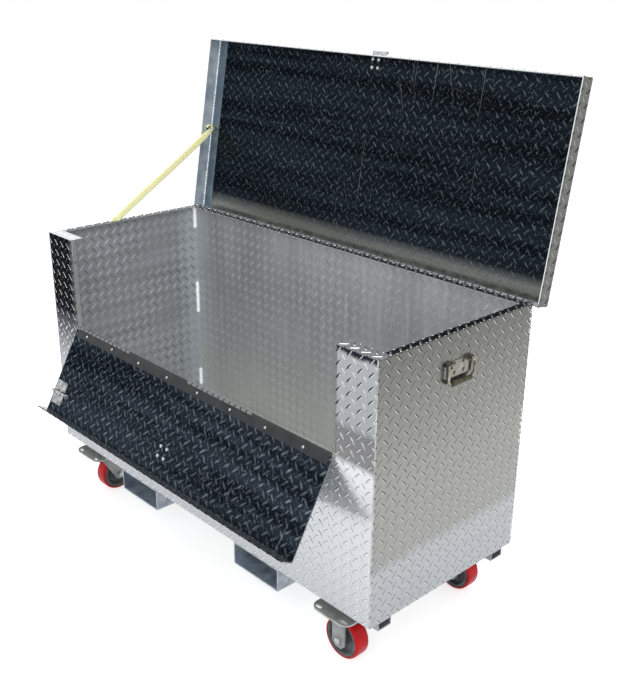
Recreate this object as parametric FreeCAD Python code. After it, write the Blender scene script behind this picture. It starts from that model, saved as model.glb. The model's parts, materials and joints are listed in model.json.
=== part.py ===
import FreeCAD, Part
import math
import os

# Jobsite storage box of folded aluminium tread plate, on casters.
# Lengths are in millimetres and angles in degrees. Pieces are drawn with the front face at y = 0 and the
# underside of the box at z = 0, then moved so that z = 0 is the floor and y = 0 is the middle of the whole.
# The lid stands open on its strap and the drop door hangs open, which is the rest state of every joint.

Vector = FreeCAD.Vector

# ---- driving dimensions: box shell ----
box_length = 1540.0
box_depth = 612.0
box_height = 762.0
plate = 3.0              # tread plate thickness
bend = 2.0               # inside radius of every fold
rim_flange = 25.0        # inward flange on the side and back walls
post_width = 140.0       # front corner posts beside the door opening
post_return = 18.0       # fold along the upright edges of the opening
post_cap = 47.0          # fold over the top of each post
cap_seam = 1.0           # gap between a post's cap and the side rim
floor_rise = 12.0        # folded edge that lifts the floor pan

# ---- drop door ----
sill_height = 457.0      # hinge line above the underside
door_below_rim = 7.0
door_side_gap = 3.0
door_flange = 40.0
door_opening = 151.0     # from shut to hanging, where plate edge meets plate edge
door_edge_gap = 7.0      # hinge line to the cut edge of each plate

# ---- lid ----
lid_overhang = 15.0      # past the sides and the back
lid_setback = 13.0       # front skirt behind the front face
lid_depth = 48.0
lid_rim_gap = 1.0
lid_corner = 4.0
lid_opening = 99.9       # from shut to held by the strap

# ---- piano hinges ----
leaf = 2.0
leaf_width = 30.0
knuckle_radius = 5.0
hinge_pin_radius = 3.0
pin_clearance = 0.05
knuckle_pitch = 300.0
knuckle_gap = 0.4
leaf_edge_gap = 0.5      # cut edge of a leaf to the other leaf's knuckles
lid_hinge_standoff = 6.0     # hinge line behind the back wall
lid_hinge_margin = 20.0
door_hinge_margin = 10.0

# ---- hasp between lid and door ----
hasp_x = 12.0
hasp_width = 60.0
hasp_leaf = 2.5
hasp_leaf_length = 48.0
hasp_reach = 12.0        # hinge line in front of the lid's front skirt
hasp_lift = 11.0         # hinge line above the lid's top face
hasp_pin_radius = 2.5
hasp_strap_width = 44.0
hasp_joggle = 11.0
hasp_joggle_above = 70.0     # start of the joggle above the staple
hasp_joggle_run = 12.0
hasp_strap_tail = 30.0       # below the staple
hasp_slot_width = 14.0
hasp_slot_clearance = 3.0
hasp_play = 4.0          # how far the hanging strap can swing towards the lid
staple_below_top = 76.0      # staple centre below the door's top edge
staple_size = 44.0
staple_base = 3.0
staple_reach = 30.0
staple_height = 34.0
staple_thickness = 8.0
padlock_hole_radius = 6.5
padlock_hole_inset = 12.0    # hole centre from the staple's nose

# ---- slide bolt on the door's inner face ----
latch_below_top = 70.0       # bolt centre below the door's top edge
latch_inset = 6.0
latch_width = 60.0
latch_height = 80.0
latch_plate = 2.0
latch_guide = 6.0
latch_guide_inset = 8.0
latch_rod_radius = 4.0
latch_rod_length = 96.0
latch_rod_lift = 6.0     # rod centre above the latch plate
latch_clearance = 0.3
latch_travel = 20.0
latch_hole_clearance = 1.0
latch_collar_radius = 7.0
latch_collar = 8.0

# ---- side handles ----
handle_below_rim = 99.0      # plate centre below the rim
handle_plate_width = 96.0
handle_plate_height = 44.0
handle_plate = 2.5
handle_bolt_y = 36.0
handle_bolt_z = 26.0
handle_pivot_above = 15.0    # bail pivot above the plate's centre
handle_pivot_out = 11.0      # bail pivot away from the wall
handle_rod_radius = 4.0
handle_ear = 16.0
handle_ear_radius = 7.0
handle_ear_clearance = 0.4
handle_drop = 52.0
handle_corner = 9.0
handle_grip_length = 78.0
handle_grip_radius = 6.5
handle_swing = 90.0

# ---- lid strap ----
strap_width = 25.0
strap_thickness = 1.5
strap_inset = 12.0       # from the box's outer end
strap_foot_y = 259.0     # behind the front face
strap_ring_reach = 285.0     # ring from the lid's hinge line
strap_ring_depth = 30.0      # ring above the lid's lower edge
strap_ring_radius = 12.0
strap_ring_hole = 8.0
strap_ring_thickness = 4.0
strap_ring_stem = 4.0
strap_clearance = 0.3
anchor_length = 32.0
anchor_width = 14.0
anchor_sheet = 2.5
anchor_tab = 14.0

# ---- rails and fork pockets ----
rail_width = 50.0
rail_height = 25.0
rail_wall = 3.0
front_rail_inset = 60.0
rear_rail_inset = 67.0
pocket_centre = 304.8
pocket_width = 203.2
pocket_height = 76.2
pocket_wall = 4.8
pocket_corner = 5.0

# ---- casters ----
caster_height = 166.0
rigid_inset = 138.0      # caster centre from the box's right end
swivel_inset = 150.0     # caster centre from the box's left end
caster_plate_x = 142.0
caster_plate_y = 158.0
caster_plate = 6.0
caster_plate_corner = 28.0
caster_slot_x = 98.0
caster_slot_y = 131.0
caster_slot_length = 24.0
caster_slot_radius = 5.0
wheel_radius = 63.5
wheel_width = 50.0
tyre_shoulder = 6.0
core_radius = 46.0
core_rim = 9.0
core_inset = 2.0
core_dish = 16.0         # depth of the hollow in each face
hub_radius = 19.0
hub_end_gap = 0.5
axle_radius = 6.0
axle_head = 7.0
axle_head_radius = 10.0
fork_sheet = 6.0
fork_leg_width = 50.0
fork_gap = 4.0
swivel_trail = 36.0
swivel_boss_radius = 30.0
swivel_boss = 8.0
swivel_gap = 0.3
swivel_race_radius = 37.0
swivel_race = 6.7
swivel_leg_radius = 19.0
swivel_crown_half = 29.0
kingpin_radius = 8.0
kingpin_nut = 7.0
kingpin_nut_radius = 13.0

# ---- bolts ----
bolt_radius = 3.5        # corner radius of the square neck
bolt_head = 3.0
bolt_head_radius = 5.5
bolt_nut = 5.0
bolt_head_sides = 12
bolt_hole_clearance = 0.2
hasp_bolt_pitch = 25.0
hasp_bolt_inset = 11.0       # first row from the lid's front edge
staple_bolt_pitch = 30.0

# ---- places that follow from the sizes ----
half_length = box_length / 2
back_face = box_depth
ride_height = caster_height + rail_height
opening_half = half_length - post_width
door_half = opening_half - door_side_gap
door_top = box_height - door_below_rim
door_hinge_y = plate / 2
door_hinge_z = sill_height
leaf_edge = knuckle_radius + leaf_edge_gap
lid_half = half_length + lid_overhang
lid_low = box_height + lid_rim_gap
lid_top = lid_low + lid_depth
lid_back = back_face + lid_overhang
lid_hinge_y = back_face + lid_hinge_standoff
lid_hinge_z = box_height
hasp_y = lid_setback - hasp_reach
hasp_z = lid_top + hasp_lift
staple_z = door_top - staple_below_top
latch_z = door_top - latch_below_top
latch_y = plate + latch_plate + latch_rod_lift
handle_y = box_depth / 2
handle_z = box_height - handle_below_rim
handle_pivot_z = handle_z + handle_pivot_above
axle_z = wheel_radius - caster_height
fork_half = wheel_width / 2 + fork_gap
caster_rows = {"front": front_rail_inset, "rear": box_depth - rear_rail_inset}


# ---- drawing helpers ----
def in_space(plane, a, b, offset):
    """Point (a, b) of a drawing plane, at an offset along the plane's normal."""
    if plane == "yz":
        return Vector(offset, a, b)
    if plane == "xz":
        return Vector(a, offset, b)
    return Vector(a, b, offset)


def rounded_wire(plane, offset, points):
    """Closed wire through (a, b, radius) corners; a radius of 0 leaves the corner sharp."""
    corners = [in_space(plane, a, b, offset) for a, b, radius in points]
    marks = []
    for index, (a, b, radius) in enumerate(points):
        corner = corners[index]
        if radius == 0:
            marks.append((corner, None, corner))
            continue
        back = (corners[index - 1] - corner).normalize()
        ahead = (corners[(index + 1) % len(corners)] - corner).normalize()
        half = back.getAngle(ahead) / 2
        reach = radius / math.tan(half)
        inward = (back + ahead).normalize()
        middle = corner + inward * (radius / math.sin(half) - radius)
        marks.append((corner + back * reach, middle, corner + ahead * reach))
    edges = []
    for index, (start, middle, end) in enumerate(marks):
        if middle is not None:
            edges.append(Part.Arc(start, middle, end).toShape())
        following = marks[(index + 1) % len(marks)][0]
        if end.distanceToPoint(following) > 1e-6:
            edges.append(Part.LineSegment(end, following).toShape())
    return Part.Wire(edges)


def bevelled(low, high, size):
    """Rectangle between two corners of a drawing plane with its own corners cut off at 45 degrees."""
    (a0, b0), (a1, b1) = low, high
    outline = [(a0 + size, b0, 0), (a1 - size, b0, 0), (a1, b0 + size, 0), (a1, b1 - size, 0)]
    return outline + [(a1 - size, b1, 0), (a0 + size, b1, 0), (a0, b1 - size, 0), (a0, b0 + size, 0)]


def prism(plane, start, end, points):
    """Solid with a rounded outline between two offsets from its drawing plane."""
    face = Part.Face(rounded_wire(plane, start, points))
    return face.extrude(in_space(plane, 0.0, 0.0, end - start))


def folded(plane, start, end, path, thickness, inside):
    """Sheet folded along a path of (a, b) corners, with its thickness to the left of the path."""
    normals = []
    for (a0, b0), (a1, b1) in zip(path, path[1:]):
        length = math.hypot(a1 - a0, b1 - b0)
        normals.append(((b0 - b1) / length, (a1 - a0) / length))
    outside = inside + thickness
    near = []
    far = []
    for index, (a, b) in enumerate(path):
        before = normals[max(index - 1, 0)]
        after = normals[min(index, len(normals) - 1)]
        share = thickness / (1 + before[0] * after[0] + before[1] * after[1])
        turn = before[0] * after[1] - before[1] * after[0]
        near_radius = 0
        far_radius = 0
        if abs(turn) > 1e-9:
            near_radius = outside if turn > 0 else inside
            far_radius = inside if turn > 0 else outside
        near.append((a, b, near_radius))
        far.append((a + (before[0] + after[0]) * share, b + (before[1] + after[1]) * share, far_radius))
    return prism(plane, start, end, near + far[::-1])


def block(x, y, z):
    """Box between pairs of limits."""
    return Part.makeBox(x[1] - x[0], y[1] - y[0], z[1] - z[0], Vector(x[0], y[0], z[0]))


def rod(radius, start, end):
    """Round bar between two points."""
    return Part.makeCylinder(radius, start.distanceToPoint(end), start, end - start)


def square_tube(plane, start, end, low, high, wall, corner=0):
    """Rectangular tube between two corners of its section."""
    (a0, b0), (a1, b1) = low, high
    outside = [(a0, b0, corner), (a1, b0, corner), (a1, b1, corner), (a0, b1, corner)]
    inside = [(a0 + wall, b0 + wall, 0), (a1 - wall, b0 + wall, 0)]
    inside += [(a1 - wall, b1 - wall, 0), (a0 + wall, b1 - wall, 0)]
    return prism(plane, start, end, outside).cut(prism(plane, start, end, inside))


def joined(pieces):
    """One solid from pieces that touch or overlap."""
    return pieces[0].fuse(pieces[1:]).removeSplitter()


def mirrored(shape):
    """The same piece at the other end of the box."""
    return shape.mirror(Vector(0, 0, 0), Vector(1, 0, 0))


def polygon_bar(sides, radius, start, end):
    """Regular many-sided bar between two points, as for a bolt's head, neck or nut."""
    along = end - start
    side = along.cross(Vector(0, 0, 1))
    if side.Length < 1e-6:
        side = Vector(1, 0, 0)
    turn = FreeCAD.Rotation(along, 360 / sides)
    corners = [FreeCAD.Rotation(along, 180 / sides).multVec(side.normalize() * radius)]
    for _ in range(sides - 1):
        corners.append(turn.multVec(corners[-1]))
    points = [start + corner for corner in corners]
    return Part.Face(Part.makePolygon(points + points[:1])).extrude(along)


def bolt(head_face, along, grip):
    """Square-necked bolt with its head on a face and its nut on the far side of the grip."""
    far_face = head_face + along * grip
    head = polygon_bar(bolt_head_sides, bolt_head_radius, head_face - along * bolt_head, head_face)
    neck = polygon_bar(4, bolt_radius, head_face, far_face)
    nut = polygon_bar(6, bolt_head_radius, far_face, far_face + along * bolt_nut)
    return joined([head, neck, nut])


def drilled(shape, centres, along, depth):
    """Shape with square bolt holes from a little before the centres to a depth beyond them."""
    radius = bolt_radius + bolt_hole_clearance
    for centre in centres:
        shape = shape.cut(polygon_bar(4, radius, centre - along * plate, centre + along * depth))
    return shape


def square_of(x, y, plane, centre):
    """Four points of a rectangular bolt pattern about a centre."""
    return [centre + in_space(plane, a * x / 2, b * y / 2, 0) for a in (-1, 1) for b in (-1, 1)]


def lid_open(shape):
    """Turn a piece of the shut lid to where the strap holds it."""
    return shape.rotated(Vector(0, lid_hinge_y, lid_hinge_z), Vector(1, 0, 0), -lid_opening)


def door_open(shape):
    """Turn a piece of the shut door to where it hangs."""
    return shape.rotated(Vector(0, door_hinge_y, door_hinge_z), Vector(1, 0, 0), door_opening)


def turned(y, z, degrees):
    """Where (y, z) goes when turned about the X axis."""
    angle = math.radians(degrees)
    return y * math.cos(angle) - z * math.sin(angle), y * math.sin(angle) + z * math.cos(angle)


# ---- piano hinges ----
def knuckles(start, end, pitch, first):
    """Spans of every second knuckle along a hinge line."""
    count = max(3, round((end - start) / pitch))
    step = (end - start) / count
    low = start + knuckle_gap / 2
    high = start + step - knuckle_gap / 2
    return [(low + i * step, high + i * step) for i in range(first, count, 2)]


def hinge_leaf(start, end, first, centre, near, side):
    """Leaf above (side 1) or below (side -1) a hinge line, with its knuckles; near is its rear-most y."""
    y, z = centre
    edge = sorted((z + side * leaf_edge, z + side * leaf_width))
    tab = sorted((z, z + side * (leaf_edge + leaf)))
    pieces = [block((start, end), (near, near + leaf), edge)]
    for low, high in knuckles(start, end, knuckle_pitch, first):
        pieces.append(block((low, high), (near, near + leaf), tab))
        pieces.append(rod(knuckle_radius, Vector(low, y, z), Vector(high, y, z)))
    bore = rod(hinge_pin_radius + pin_clearance, Vector(start, y, z), Vector(end, y, z))
    return joined(pieces).cut(bore)


# ---- box shell ----
def front_wall():
    """Lower wall and the two posts as one folded sheet, with a cap over each post."""
    sill = sill_height - door_edge_gap
    wall = block((-half_length, half_length), (0, plate), (0, sill))
    fold = [(-half_length, 0), (-opening_half, 0), (-opening_half, post_return)]
    post = folded("xy", sill, box_height - plate, fold, plate, bend)
    cap_front = block((-half_length, -opening_half), (0, plate), (box_height - plate, box_height))
    cap = block((plate - half_length, -opening_half), (0, post_cap), (box_height - plate, box_height))
    post = joined([post, cap_front, cap])
    latch_hole = rod(
        latch_rod_radius + latch_hole_clearance,
        Vector(-opening_half - post_return, latch_y, latch_z),
        Vector(-opening_half + plate, latch_y, latch_z),
    )
    return joined([wall, post.cut(latch_hole), mirrored(post)])


def side_wall():
    """Right wall with its rim flange, drilled for the handle."""
    fold = [(half_length, 0), (half_length, box_height), (half_length - rim_flange, box_height)]
    wall = folded("xz", plate, back_face, fold, plate, bend)
    flange_x = (half_length - rim_flange - 1, half_length - plate)
    flange_z = (box_height - plate - bend - 1, box_height + 1)
    wall = wall.cut(block(flange_x, (0, post_cap + cap_seam), flange_z))
    wall = wall.cut(block(flange_x, (back_face - rim_flange, back_face + 1), flange_z))
    return drilled(wall, handle_bolts_at(), Vector(-1, 0, 0), 2 * plate)


def back_wall():
    """Back wall between the side walls, with its rim flange."""
    fold = [(back_face, 0), (back_face, box_height), (back_face - rim_flange, box_height)]
    return folded("yz", plate - half_length, half_length - plate, fold, plate, bend)


def floor_plate():
    """Floor pan with its edges folded down."""
    x = half_length - plate
    pan = block((-x, x), (plate, back_face - plate), (0, floor_rise))
    hollow = block((plate - x, x - plate), (2 * plate, back_face - 2 * plate), (0, floor_rise - plate))
    return pan.cut(hollow)


def rail(centre_y):
    """Rail in three lengths, between and outside the fork pockets."""
    inner = pocket_centre - pocket_width / 2
    outer = pocket_centre + pocket_width / 2
    low = (centre_y - rail_width / 2, -rail_height)
    high = (centre_y + rail_width / 2, 0)
    spans = [(-half_length, -outer), (-inner, inner), (outer, half_length)]
    return Part.makeCompound(
        [square_tube("yz", start, end, low, high, rail_wall) for start, end in spans]
    )


def fork_pocket(centre_x):
    """Tube under the box that takes one fork of a lift truck."""
    low = (centre_x - pocket_width / 2, -pocket_height)
    high = (centre_x + pocket_width / 2, 0)
    return square_tube("xz", 0, back_face, low, high, pocket_wall, pocket_corner)


# ---- drop door ----
def door_panel():
    """Door plate with its top edge folded inwards."""
    fold = [(door_flange, door_top), (0, door_top), (0, sill_height + door_edge_gap)]
    panel = folded("yz", -door_half, door_half, fold, plate, bend)
    return drilled(panel, staple_bolts_at(), Vector(0, 1, 0), 3 * plate)


def staple_bolts_at():
    """Head faces of the staple's bolts, on its base plate."""
    centre = Vector(hasp_x, -staple_base, staple_z)
    return square_of(staple_bolt_pitch, staple_bolt_pitch, "xz", centre)


def door_staple():
    """Staple whose eye passes through the hasp and takes the padlock."""
    half = staple_size / 2
    low = hasp_x - half
    high = hasp_x + half
    corner = staple_size / 8
    outline = [(low, staple_z - half, corner), (high, staple_z - half, corner)]
    outline += [(high, staple_z + half, corner), (low, staple_z + half, corner)]
    base = prism("xz", -staple_base, 0, outline)
    rise = staple_height / 2
    nose = -staple_base - staple_reach
    eye = [(-staple_base / 2, staple_z - rise, 0), (nose, staple_z - rise, rise - 1)]
    eye += [(nose, staple_z + rise, rise - 1), (-staple_base / 2, staple_z + rise, 0)]
    eye_x = (hasp_x - staple_thickness / 2, hasp_x + staple_thickness / 2)
    lug = prism("yz", eye_x[0], eye_x[1], eye)
    hole_y = nose + padlock_hole_inset
    hole = rod(
        padlock_hole_radius,
        Vector(eye_x[0] - 1, hole_y, staple_z),
        Vector(eye_x[1] + 1, hole_y, staple_z),
    )
    return drilled(joined([base, lug]).cut(hole), staple_bolts_at(), Vector(0, 1, 0), 2 * plate)


def latch_guides():
    """X spans of the two guides that hold the slide bolt."""
    first = latch_inset + latch_guide_inset - door_half
    second = latch_inset + latch_width - latch_guide_inset - latch_guide - door_half
    return [(x, x + latch_guide) for x in (first, second)]


def latch_plate_piece():
    """Plate with two guides, near the door's left edge."""
    low = latch_inset - door_half
    high = low + latch_width
    half = latch_height / 2
    corner = latch_guide
    outline = [(low, latch_z - half, corner), (high, latch_z - half, corner)]
    outline += [(high, latch_z + half, corner), (low, latch_z + half, corner)]
    pieces = [prism("xz", plate, plate + latch_plate, outline)]
    reach = latch_rod_radius + latch_guide / 2
    for start, end in latch_guides():
        guide = [(plate + latch_plate / 2, latch_z - reach, 0), (latch_y + reach, latch_z - reach, reach - 1)]
        guide += [(latch_y + reach, latch_z + reach, reach - 1), (plate + latch_plate / 2, latch_z + reach, 0)]
        pieces.append(prism("yz", start, end, guide))
    bore = rod(
        latch_rod_radius + latch_clearance,
        Vector(low, latch_y, latch_z),
        Vector(high, latch_y, latch_z),
    )
    return joined(pieces).cut(bore)


def slide_bolt():
    """Round bolt with a collar and a finger knob at its inner end."""
    tip = -door_half
    end = tip + latch_rod_length
    bar = rod(latch_rod_radius, Vector(tip, latch_y, latch_z), Vector(end, latch_y, latch_z))
    collar = rod(
        latch_collar_radius,
        Vector(end - latch_collar, latch_y, latch_z),
        Vector(end, latch_y, latch_z),
    )
    knob_x = end - latch_collar / 2
    knob = rod(
        latch_rod_radius,
        Vector(knob_x, latch_y, latch_z),
        Vector(knob_x, latch_y + 2 * latch_collar, latch_z),
    )
    return joined([bar, collar, knob])


# ---- lid ----
def lid_pan():
    """Shallow pan that covers the box, open below."""
    shell = block((-lid_half, lid_half), (lid_setback, lid_back), (lid_low, lid_top))
    rounded = []
    for edge in shell.Edges:
        middle = edge.valueAt((edge.FirstParameter + edge.LastParameter) / 2)
        if middle.z > lid_top - 1:
            rounded.append(edge)
    shell = shell.makeFillet(lid_corner, rounded)
    hollow = block(
        (plate - lid_half, lid_half - plate),
        (lid_setback + plate, lid_back - plate),
        (lid_low - 1, lid_top - plate),
    )
    return drilled(shell.cut(hollow), hasp_bolts_at(), Vector(0, 0, -1), 3 * plate)


def hasp_bolts_at():
    """Head faces of the hasp's bolts, on its leaf."""
    centre_y = lid_setback + hasp_bolt_inset + hasp_bolt_pitch / 2
    centre = Vector(hasp_x, centre_y, lid_top + hasp_leaf)
    return square_of(hasp_bolt_pitch, hasp_bolt_pitch, "xy", centre)


def hasp_spans(first):
    """Knuckles of the hasp's hinge: 0 for the leaf's, 1 for the strap's."""
    low = hasp_x - hasp_width / 2
    return knuckles(low, low + hasp_width, hasp_width / 3, first)


def hasp_knuckles(flat, own, other, radius):
    """Flat leaf with its own knuckles rolled on and room cut for the other leaf's."""
    pieces = [flat]
    for low, high in own:
        pieces.append(rod(radius, Vector(low, hasp_y, hasp_z), Vector(high, hasp_y, hasp_z)))
    shape = joined(pieces)
    for low, high in other:
        start = Vector(low - knuckle_gap, hasp_y, hasp_z)
        end = Vector(high + knuckle_gap, hasp_y, hasp_z)
        shape = shape.cut(rod(radius + leaf_edge_gap, start, end))
    low = Vector(hasp_x - hasp_width, hasp_y, hasp_z)
    high = Vector(hasp_x + hasp_width, hasp_y, hasp_z)
    return shape.cut(rod(hasp_pin_radius + pin_clearance, low, high))


hasp_knuckle_radius = hasp_pin_radius + hasp_leaf


def hasp_leaf_piece():
    """Cranked leaf on the lid's front edge."""
    under = hasp_z - hasp_knuckle_radius
    crank = lid_setback + hasp_bolt_inset / 4
    back = lid_setback + hasp_leaf_length
    fold = [(hasp_y, under), (crank - hasp_lift / 2, under), (crank, lid_top), (back, lid_top)]
    low = hasp_x - hasp_width / 2
    flat = folded("yz", low, low + hasp_width, fold, hasp_leaf, bend / 2)
    shape = hasp_knuckles(flat, hasp_spans(0), hasp_spans(1), hasp_knuckle_radius)
    return drilled(shape, hasp_bolts_at(), Vector(0, 0, -1), 2 * plate)


def hasp_strap_shut():
    """Joggled strap with the slot for the staple, as it lies when shut."""
    front = hasp_y - hasp_leaf / 2
    start = staple_z + hasp_joggle_above + hasp_joggle_run
    end = staple_z + hasp_joggle_above
    foot = staple_z - hasp_strap_tail
    fold = [(front, hasp_z), (front, start), (front - hasp_joggle, end), (front - hasp_joggle, foot)]
    half = hasp_strap_width / 2
    sheet = folded("yz", hasp_x - half, hasp_x + half, fold, hasp_leaf, bend / 2)
    outline = [(hasp_x - half, foot, half / 2), (hasp_x + half, foot, half / 2)]
    outline += [(hasp_x + half, hasp_z + 1, 0), (hasp_x - half, hasp_z + 1, 0)]
    sheet = sheet.common(prism("xz", front - 2 * hasp_joggle, front + hasp_joggle, outline))
    wide = hasp_slot_width / 2
    tall = staple_height / 2 + hasp_slot_clearance
    slot = [(hasp_x - wide, staple_z - tall, wide - 1), (hasp_x + wide, staple_z - tall, wide - 1)]
    slot += [(hasp_x + wide, staple_z + tall, wide - 1), (hasp_x - wide, staple_z + tall, wide - 1)]
    sheet = sheet.cut(prism("xz", front - 2 * hasp_joggle, front + hasp_joggle, slot))
    return hasp_knuckles(sheet, hasp_spans(1), hasp_spans(0), hasp_knuckle_radius)


def hanging_tilt(shape):
    """Degrees that the hasp strap turns about its pin to hang with its weight straight below."""
    centre = shape.Solids[0].CenterOfMass
    return math.degrees(math.atan2(hasp_y - centre.y, hasp_z - centre.z))


def strap_ring():
    """Eye on the inside of the lid's left skirt that the strap hangs from."""
    y = lid_hinge_y - strap_ring_reach
    z = lid_low + strap_ring_depth
    wall_x = plate - lid_half
    centre_x = strap_inset - half_length
    half = strap_ring_thickness / 2
    eye = rod(strap_ring_radius, Vector(centre_x, y - half, z), Vector(centre_x, y + half, z))
    stem = rod(strap_ring_stem, Vector(wall_x, y, z), Vector(centre_x - strap_ring_hole, y, z))
    hole = rod(strap_ring_hole, Vector(centre_x, y - 2 * half, z), Vector(centre_x, y + 2 * half, z))
    return joined([eye, stem]).cut(hole.fuse(hole.translated(Vector(0, -2 * half, 0))))


# ---- lid strap ----
def strap_ends():
    """(y, z) of the strap's foot on the rim and of its eye on the open lid."""
    y, z = turned(-strap_ring_reach, lid_low + strap_ring_depth - lid_hinge_z, -lid_opening)
    return (strap_foot_y, box_height + anchor_sheet), (lid_hinge_y + y, lid_hinge_z + z)


def lid_strap():
    """Webbing pulled straight between the rim and the lid."""
    (y0, z0), (y1, z1) = strap_ends()
    length = math.hypot(y1 - y0, z1 - z0)
    dy = (y1 - y0) / length
    dz = (z1 - z0) / length
    half = strap_width / 2
    short = length - strap_ring_radius - strap_clearance
    x = strap_inset - half_length
    outline = [(y0 - half / dz, z0, 0), (y0 + half / dz, z0, 0)]
    outline += [(y0 + dy * short + half * dz, z0 + dz * short - half * dy, 0)]
    outline += [(y0 + dy * short - half * dz, z0 + dz * short + half * dy, 0)]
    return prism("yz", x - strap_thickness / 2, x + strap_thickness / 2, outline)


def strap_anchor():
    """Angle on the rim that the webbing's foot is fixed to."""
    x = strap_inset - half_length + strap_thickness / 2
    y = (strap_foot_y - anchor_length / 2, strap_foot_y + anchor_length / 2)
    z = box_height
    base = block((x + anchor_sheet - anchor_width, x + anchor_sheet), y, (z, z + anchor_sheet))
    tab = block((x, x + anchor_sheet), y, (z, z + anchor_tab))
    return joined([base, tab])


# ---- side handles, drawn on the right wall ----
def handle_bolts_at():
    """Head faces of the right handle's bolts."""
    centre = Vector(half_length + handle_plate, handle_y, handle_z)
    return square_of(handle_bolt_y, handle_bolt_z, "yz", centre)


def handle_plate_piece():
    """Back plate with an ear at each end for the bail."""
    half_y = handle_plate_width / 2
    half_z = handle_plate_height / 2
    outline = bevelled((handle_y - half_y, handle_z - half_z), (handle_y + half_y, handle_z + half_z), handle_plate)
    pieces = [prism("yz", half_length, half_length + handle_plate, outline)]
    x = half_length + handle_pivot_out
    r = handle_ear_radius
    ear = [(half_length, handle_pivot_z - r, 0), (x + r, handle_pivot_z - r, r - 0.5)]
    ear += [(x + r, handle_pivot_z + r, r - 0.5), (half_length, handle_pivot_z + r, 0)]
    for side in (-1, 1):
        y = sorted((handle_y + side * half_y, handle_y + side * (half_y - handle_ear)))
        pieces.append(prism("xz", y[0], y[1], ear))
    bore = rod(
        handle_rod_radius + pin_clearance,
        Vector(x, handle_y - half_y - 1, handle_pivot_z),
        Vector(x, handle_y + half_y + 1, handle_pivot_z),
    )
    shape = joined(pieces).cut(bore)
    return drilled(shape, handle_bolts_at(), Vector(-1, 0, 0), 2 * plate)


def handle_bail():
    """Bent rod whose ends turn in the ears."""
    x = half_length + handle_pivot_out
    arm = handle_plate_width / 2 + handle_ear_clearance + handle_rod_radius
    pin = handle_plate_width / 2 - handle_ear + 1
    low = handle_pivot_z - handle_drop
    right = [(pin, handle_pivot_z), (arm, handle_pivot_z)]
    right += [(arm, low + handle_corner), (arm - handle_corner, low)]
    left = [(-y, z) for y, z in reversed(right)]
    path = Part.makePolygon([Vector(x, handle_y + y, z) for y, z in right + left])
    section = Part.Wire(Part.makeCircle(handle_rod_radius, path.Vertexes[0].Point, Vector(0, 1, 0)))
    return Part.Solid(path.makePipeShell([section], True, False, 1))


def handle_grip():
    """Sleeve on the bail."""
    x = half_length + handle_pivot_out
    z = handle_pivot_z - handle_drop
    start = Vector(x, handle_y - handle_grip_length / 2, z)
    end = Vector(x, handle_y + handle_grip_length / 2, z)
    return rod(handle_grip_radius, start, end).cut(rod(handle_rod_radius + pin_clearance, start, end))


# ---- casters, drawn with the middle of the plate's top at the origin and rolling along Y ----
def caster_plate_piece(swivels):
    """Mounting plate with four slots, and the upper race of a swivel caster."""
    x = caster_plate_x / 2
    y = caster_plate_y / 2
    corner = caster_plate_corner
    outline = [(-x, -y, corner), (x, -y, corner), (x, y, corner), (-x, y, corner)]
    shape = prism("xy", -caster_plate, 0, outline)
    half = caster_slot_length / 2
    r = caster_slot_radius
    for side_x in (-1, 1):
        for side_y in (-1, 1):
            cx = side_x * caster_slot_x / 2
            cy = side_y * caster_slot_y / 2
            slot = bevelled((cx - half, cy - r), (cx + half, cy + r), r / 2)
            shape = shape.cut(prism("xy", -2 * caster_plate, caster_plate, slot))
    if swivels:
        low = Vector(0, 0, -caster_plate - swivel_boss)
        shape = joined([shape, rod(swivel_boss_radius, low, Vector(0, 0, -caster_plate))])
        shape = shape.cut(rod(kingpin_radius, low * 2, Vector(0, 0, caster_plate)))
    return shape


def axle_hole(y):
    """Cutter for the axle through both fork legs."""
    reach = fork_half + 2 * fork_sheet
    return rod(axle_radius + pin_clearance, Vector(-reach, y, axle_z), Vector(reach, y, axle_z))


def rigid_fork():
    """Fork with straight legs, welded under its plate."""
    out = fork_half + fork_sheet
    top = -caster_plate
    foot = axle_z - fork_leg_width / 2
    fold = [(out, foot), (out, top), (-out, top), (-out, foot)]
    half = fork_leg_width / 2
    bracket = folded("xz", -half, half, fold, fork_sheet, bend)
    bracket = bracket.common(prism("yz", -out, out, bevelled((-half, foot), (half, -foot), half * 0.6)))
    return bracket.cut(axle_hole(0))


def swivel_fork():
    """Fork with raked legs, under its lower race."""
    out = fork_half + fork_sheet
    race_top = -caster_plate - swivel_boss - swivel_gap
    top = race_top - swivel_race
    foot = axle_z - swivel_leg_radius
    r = swivel_leg_radius
    back = -swivel_crown_half
    front = swivel_trail + r
    fold = [(out, foot), (out, top), (-out, top), (-out, foot)]
    bracket = folded("xz", back, front, fold, fork_sheet, bend)
    outline = [(back, top, 0), (back, top - 2 * fork_sheet, 0), (swivel_trail - r, foot + r / 2, r / 2)]
    outline += [(swivel_trail - r / 2, foot, r / 4), (swivel_trail + r / 2, foot, r / 4)]
    outline += [(front, foot + r / 2, r / 4), (front, axle_z + r / 2, r / 4)]
    outline += [(-back, top - fork_sheet, 0), (-back, top, 0)]
    bracket = bracket.common(prism("yz", -out, out, outline))
    race = rod(swivel_race_radius, Vector(0, 0, top), Vector(0, 0, race_top))
    shape = joined([bracket, race]).cut(axle_hole(swivel_trail))
    return shape.cut(rod(kingpin_radius + pin_clearance, Vector(0, 0, 2 * top), Vector(0, 0, 0)))


def kingpin():
    """Pin with a nut under the crown, flush with the top of the plate."""
    crown = -caster_plate - swivel_boss - swivel_gap - swivel_race - fork_sheet - swivel_gap
    pin = rod(kingpin_radius, Vector(0, 0, crown), Vector(0, 0, 0))
    nut = polygon_bar(6, kingpin_nut_radius, Vector(0, 0, crown - kingpin_nut), Vector(0, 0, crown))
    return joined([pin, nut])


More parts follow.
